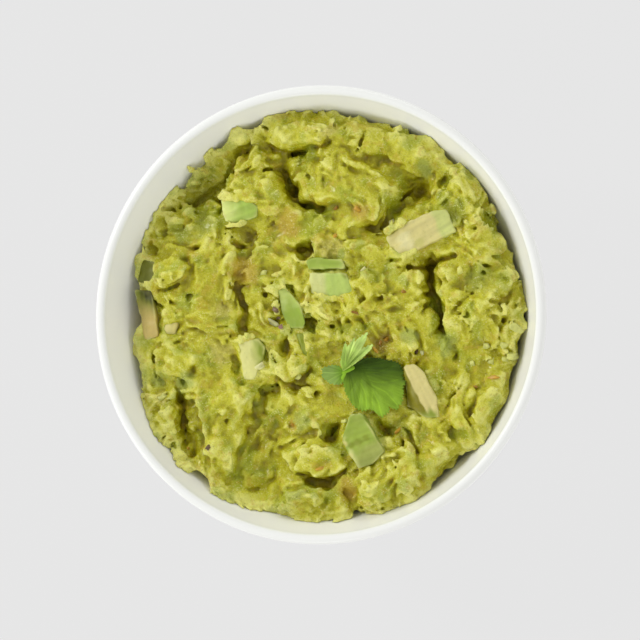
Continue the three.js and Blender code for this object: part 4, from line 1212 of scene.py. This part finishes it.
def chopped(bits, squareness, sunk, seed):
    """Points, faces and colours of bits that lie partly sunk in the mash, square to its slope."""
    ball, ball_faces = np.array(BALL[0]), BALL[1]
    points, faces, colours = [], [], []
    for x, y, *radii, turn, colour in bits:
        spot, up, _, _ = mash_top.ray_cast(Vector((x, y, 80)) * MM, Vector((0, 0, -1)))
        up = (up + Vector((0, 0, 1))).normalized()
        lean = Vector((0, 0, 1)).rotation_difference(up).to_matrix()
        lean = lean @ Matrix.Rotation(math.radians(turn), 3, "Z")
        shape = np.sign(ball) * np.abs(ball) ** squareness
        shape *= 1 + 0.3 * clouds((ball + (x, y, 0)).astype(F), 0.7, seed)[:, None]
        faces += [tuple(v + len(points) * len(ball) for v in face) for face in ball_faces]
        sunk_by = sunk * radii[2] * np.array(up)
        points.append(shape * radii @ np.array(lean).T + np.array(spot) / MM - sunk_by)
        uneven = 1 + 0.15 * clouds(points[-1].astype(F), 0.9, seed + 1)
        colours.append(np.array(tint(*colour)) * uneven[:, None])
    return np.concatenate(points), faces, np.concatenate(colours)


def wet_bit(start):
    """Raw, wet flesh with a pale grain."""
    grain = start.noise(0.5, 3, 0.6)
    colour = start.attribute("bit_colour", "Color")
    paler = grain.between(0.5, 0.75) * 0.2
    colour = paler.mixed(colour, tint(222, 214, 150))
    return start.node("BsdfPrincipled", {}, {
        "Base Color": colour, "Roughness": 0.22 + 0.14 * grain,
        "Normal": grain.bumped(0.6, 0.15), "Specular IOR Level": 0.4,
        "Subsurface Weight": 0.1, "Subsurface Radius": (1.0, 1.0, 0.5), "Subsurface Scale": 0.4 * MM})


def bits_in_mash(name, material, bits, squareness, sunk, seed):
    """One object of many bits: low squareness makes them blockier, and sunk is in their half heights."""
    points, faces, colours = chopped(bits, squareness, sunk, seed)
    piece = new_object(name, points, faces)
    paint(piece, "bit_colour", colours)
    piece.data.materials.append(finish(material, wet_bit))
    return piece


onion = bits_in_mash("onion_bits", "red_onion", ONION, squareness=0.6, sunk=0.2, seed=71)
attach(onion, "root")

# ---------------------------------------------------------------- chopped tomato
# Ripe tomato, seeded and chopped fine, then stirred in. The paste has nearly swallowed the small
# bits of flesh and skin, so they lie deeper than the onion and show as thin orange marks.
TOMATO_BRIGHT = (194, 150, 42)
TOMATO_DEEP = (156, 114, 20)
# For each: centre x, y, half lengths, height, turn of the long axis, colour.
TOMATO = [
    (13.2, 34.4, 1.9, 0.9, 0.6, 5, TOMATO_BRIGHT), (5, 35, 0.8, 0.6, 0.5, 60, TOMATO_DEEP),
    (5, 26.2, 1.1, 0.8, 0.5, 0, TOMATO_BRIGHT), (28, 7.5, 1.0, 0.6, 0.5, 30, TOMATO_DEEP),
    (12.5, 0.6, 2.2, 0.35, 0.4, 10, TOMATO_DEEP), (22, -8, 1.3, 0.8, 0.5, 20, TOMATO_DEEP),
    (17.6, -11.6, 1.6, 0.9, 0.5, -25, TOMATO_BRIGHT), (19.8, -9.4, 0.9, 0.6, 0.5, 70, TOMATO_DEEP),
    (0, -50.5, 1.6, 0.5, 0.5, 5, TOMATO_BRIGHT), (57, -21, 1.7, 0.6, 0.5, 15, TOMATO_BRIGHT),
    (50.5, -24, 1.2, 0.5, 0.4, 30, TOMATO_DEEP), (-10, -36, 1.0, 0.5, 0.4, -10, TOMATO_BRIGHT),
    (-46, -44, 1.1, 0.5, 0.4, 40, TOMATO_BRIGHT), (25.2, -38, 1.6, 0.7, 0.4, 20, TOMATO_BRIGHT),
]
tomato = bits_in_mash("tomato_bits", "tomato_flesh", TOMATO, squareness=0.7, sunk=0.5, seed=81)
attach(tomato, "root")

# ---------------------------------------------------------------- avocado crumbs
# Crumbs of firm avocado that broke off the dice while the mash was folded. They are paler or
# greener than the paste round them, and most lie at the right, where the mash is coarse.
CRUMB_PALE = (206, 208, 116)
CRUMB_GREEN = (170, 180, 74)
CRUMB_CREAM = (224, 222, 154)
# For each: centre x, y, half lengths, height, turn of the long axis, colour.
CRUMBS = [
    (63.8, -5, 1.6, 2.2, 1.2, 10, CRUMB_PALE), (62.6, -13.4, 1.4, 2.4, 1.2, -20, CRUMB_PALE),
    (54, -10.5, 1.1, 0.9, 0.9, 0, CRUMB_PALE), (60, -10, 1.2, 1.0, 0.9, 30, CRUMB_PALE),
    (56, -15.5, 1.0, 0.9, 0.8, 60, CRUMB_PALE), (50, -16, 1.2, 0.9, 0.8, 10, CRUMB_PALE),
    (14, 15, 1.0, 0.7, 0.6, 30, CRUMB_CREAM), (7.4, -35, 1.1, 0.7, 0.6, 50, CRUMB_PALE),
    (41, -9.6, 2.6, 1.4, 0.8, 20, CRUMB_GREEN), (60.4, -14.6, 1.2, 1.0, 0.8, 0, CRUMB_PALE),
    (-54, -27, 1.6, 1.3, 0.8, 30, CRUMB_PALE), (23.2, 30.4, 1.2, 0.9, 0.8, 20, CRUMB_CREAM),
    (-8, -20, 1.0, 0.8, 0.6, 20, CRUMB_PALE), (-20, 14, 1.2, 0.8, 0.6, 50, CRUMB_PALE),
    (-20.4, -17, 1.5, 1.1, 0.8, 30, CRUMB_CREAM),
]
crumbs = bits_in_mash("avocado_crumbs", "avocado_crumb", CRUMBS, squareness=0.6, sunk=0.3, seed=91)
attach(crumbs, "root")

# ---------------------------------------------------------------- floor and light
# A pale studio table that glows as if it were lit from below, one large soft light high at the back
# left, a ring of weak ones low down, and even light from all round.
TABLE = 3000                  # half its width
TABLE_GLOW = 0.745            # how strongly it is lit from below
DAYLIGHT = 0.54               # the even light
LAMP_AWAY = 2400.0            # lamps to the middle of the bowl's foot
KEY = {"bearing": 155, "height": 40, "size": 360.0, "watts": 13.0}
LOW_LAMPS = 6
LOW_HEIGHT, LOW_SIZE = 22, 800.0
LOW_FIRST = 22                # bearing of the first one
LOW_WATTS, LOW_MORE = 8.6, 2.4  # their power, and how much more the strongest has
LOW_STRONGEST = 200           # bearing at which one would be strongest


def table_top(start):
    """Matt board, cloudy grey before its own light is added."""
    cloud = start.noise(60, 2)
    colour = cloud.mixed(tint(60, 60, 60), tint(63, 63, 63))
    return start.node("BsdfPrincipled", {}, {
        "Base Color": colour, "Roughness": 0.9, "Specular IOR Level": 0.0,
        "Emission Color": (1, 1, 1, 1), "Emission Strength": TABLE_GLOW})


def add_lamp(name, bearing, height, size, watts):
    """A soft box that looks at the bowl, its height in degrees above the table."""
    lamp = bpy.data.objects.new(name, bpy.data.lights.new(name, "AREA"))
    lamp.data.size = size * MM
    lamp.data.energy = watts
    a, h = math.radians(bearing), math.radians(height)
    towards = Vector((math.cos(a) * math.cos(h), math.sin(a) * math.cos(h), math.sin(h)))
    lamp.location = towards * LAMP_AWAY * MM
    lamp.rotation_euler = towards.to_track_quat("Z", "Y").to_euler()
    bpy.context.scene.collection.objects.link(lamp)


corners = [(-TABLE, -TABLE, 0), (TABLE, -TABLE, 0), (TABLE, TABLE, 0), (-TABLE, TABLE, 0)]
floor = new_object("floor", corners, [(0, 1, 2, 3)])
floor.data.materials.append(finish("pale_table", table_top))

world = bpy.data.worlds.new("studio")
world.use_nodes = True
world.node_tree.nodes["Background"].inputs["Color"].default_value = (1, 1, 1, 1)
world.node_tree.nodes["Background"].inputs["Strength"].default_value = DAYLIGHT
bpy.context.scene.world = world

add_lamp("key_light", **KEY)
for i in range(LOW_LAMPS):
    around = LOW_FIRST + 360 * i / LOW_LAMPS
    watts = LOW_WATTS + LOW_MORE * math.cos(math.radians(around - LOW_STRONGEST))
    add_lamp("low_light_%d" % i, around, LOW_HEIGHT, LOW_SIZE, watts)

# ---------------------------------------------------------------- camera
# One camera nearly overhead, leaning a little to the right and front, and aimed just off the middle
# of the rim. The field of view follows from how large the rim should appear.
TILT, SWING = math.radians(12), math.radians(14)
AWAY = 800.0                  # camera to the level of the rim
SENSOR = 36.0                 # its width
PIXELS = 640                  # width of what it sees
PIXELS_PER_MM = 3.075         # at the level of the rim
AIM = (4.0, -6.4)             # its aim, right of and above the rim's middle, in pixels
back = Vector((math.sin(TILT) * math.cos(SWING), -math.sin(TILT) * math.sin(SWING), math.cos(TILT)))
right = Vector((0, 1, 0)).cross(back).normalized()
up = back.cross(right)
aim = Vector((0, 0, RIM_Z)) + (right * AIM[0] + up * AIM[1]) / PIXELS_PER_MM
camera = bpy.data.objects.new("camera", bpy.data.cameras.new("camera"))
camera.data.sensor_width = SENSOR
camera.data.lens = SENSOR * PIXELS_PER_MM * AWAY / PIXELS
stand = Matrix.Translation((aim + back * AWAY) * MM)
camera.matrix_world = stand @ Matrix((right, up, back)).transposed().to_4x4()
bpy.context.scene.collection.objects.link(camera)
bpy.context.scene.camera = camera
bpy.context.scene.view_settings.view_transform = "Standard"
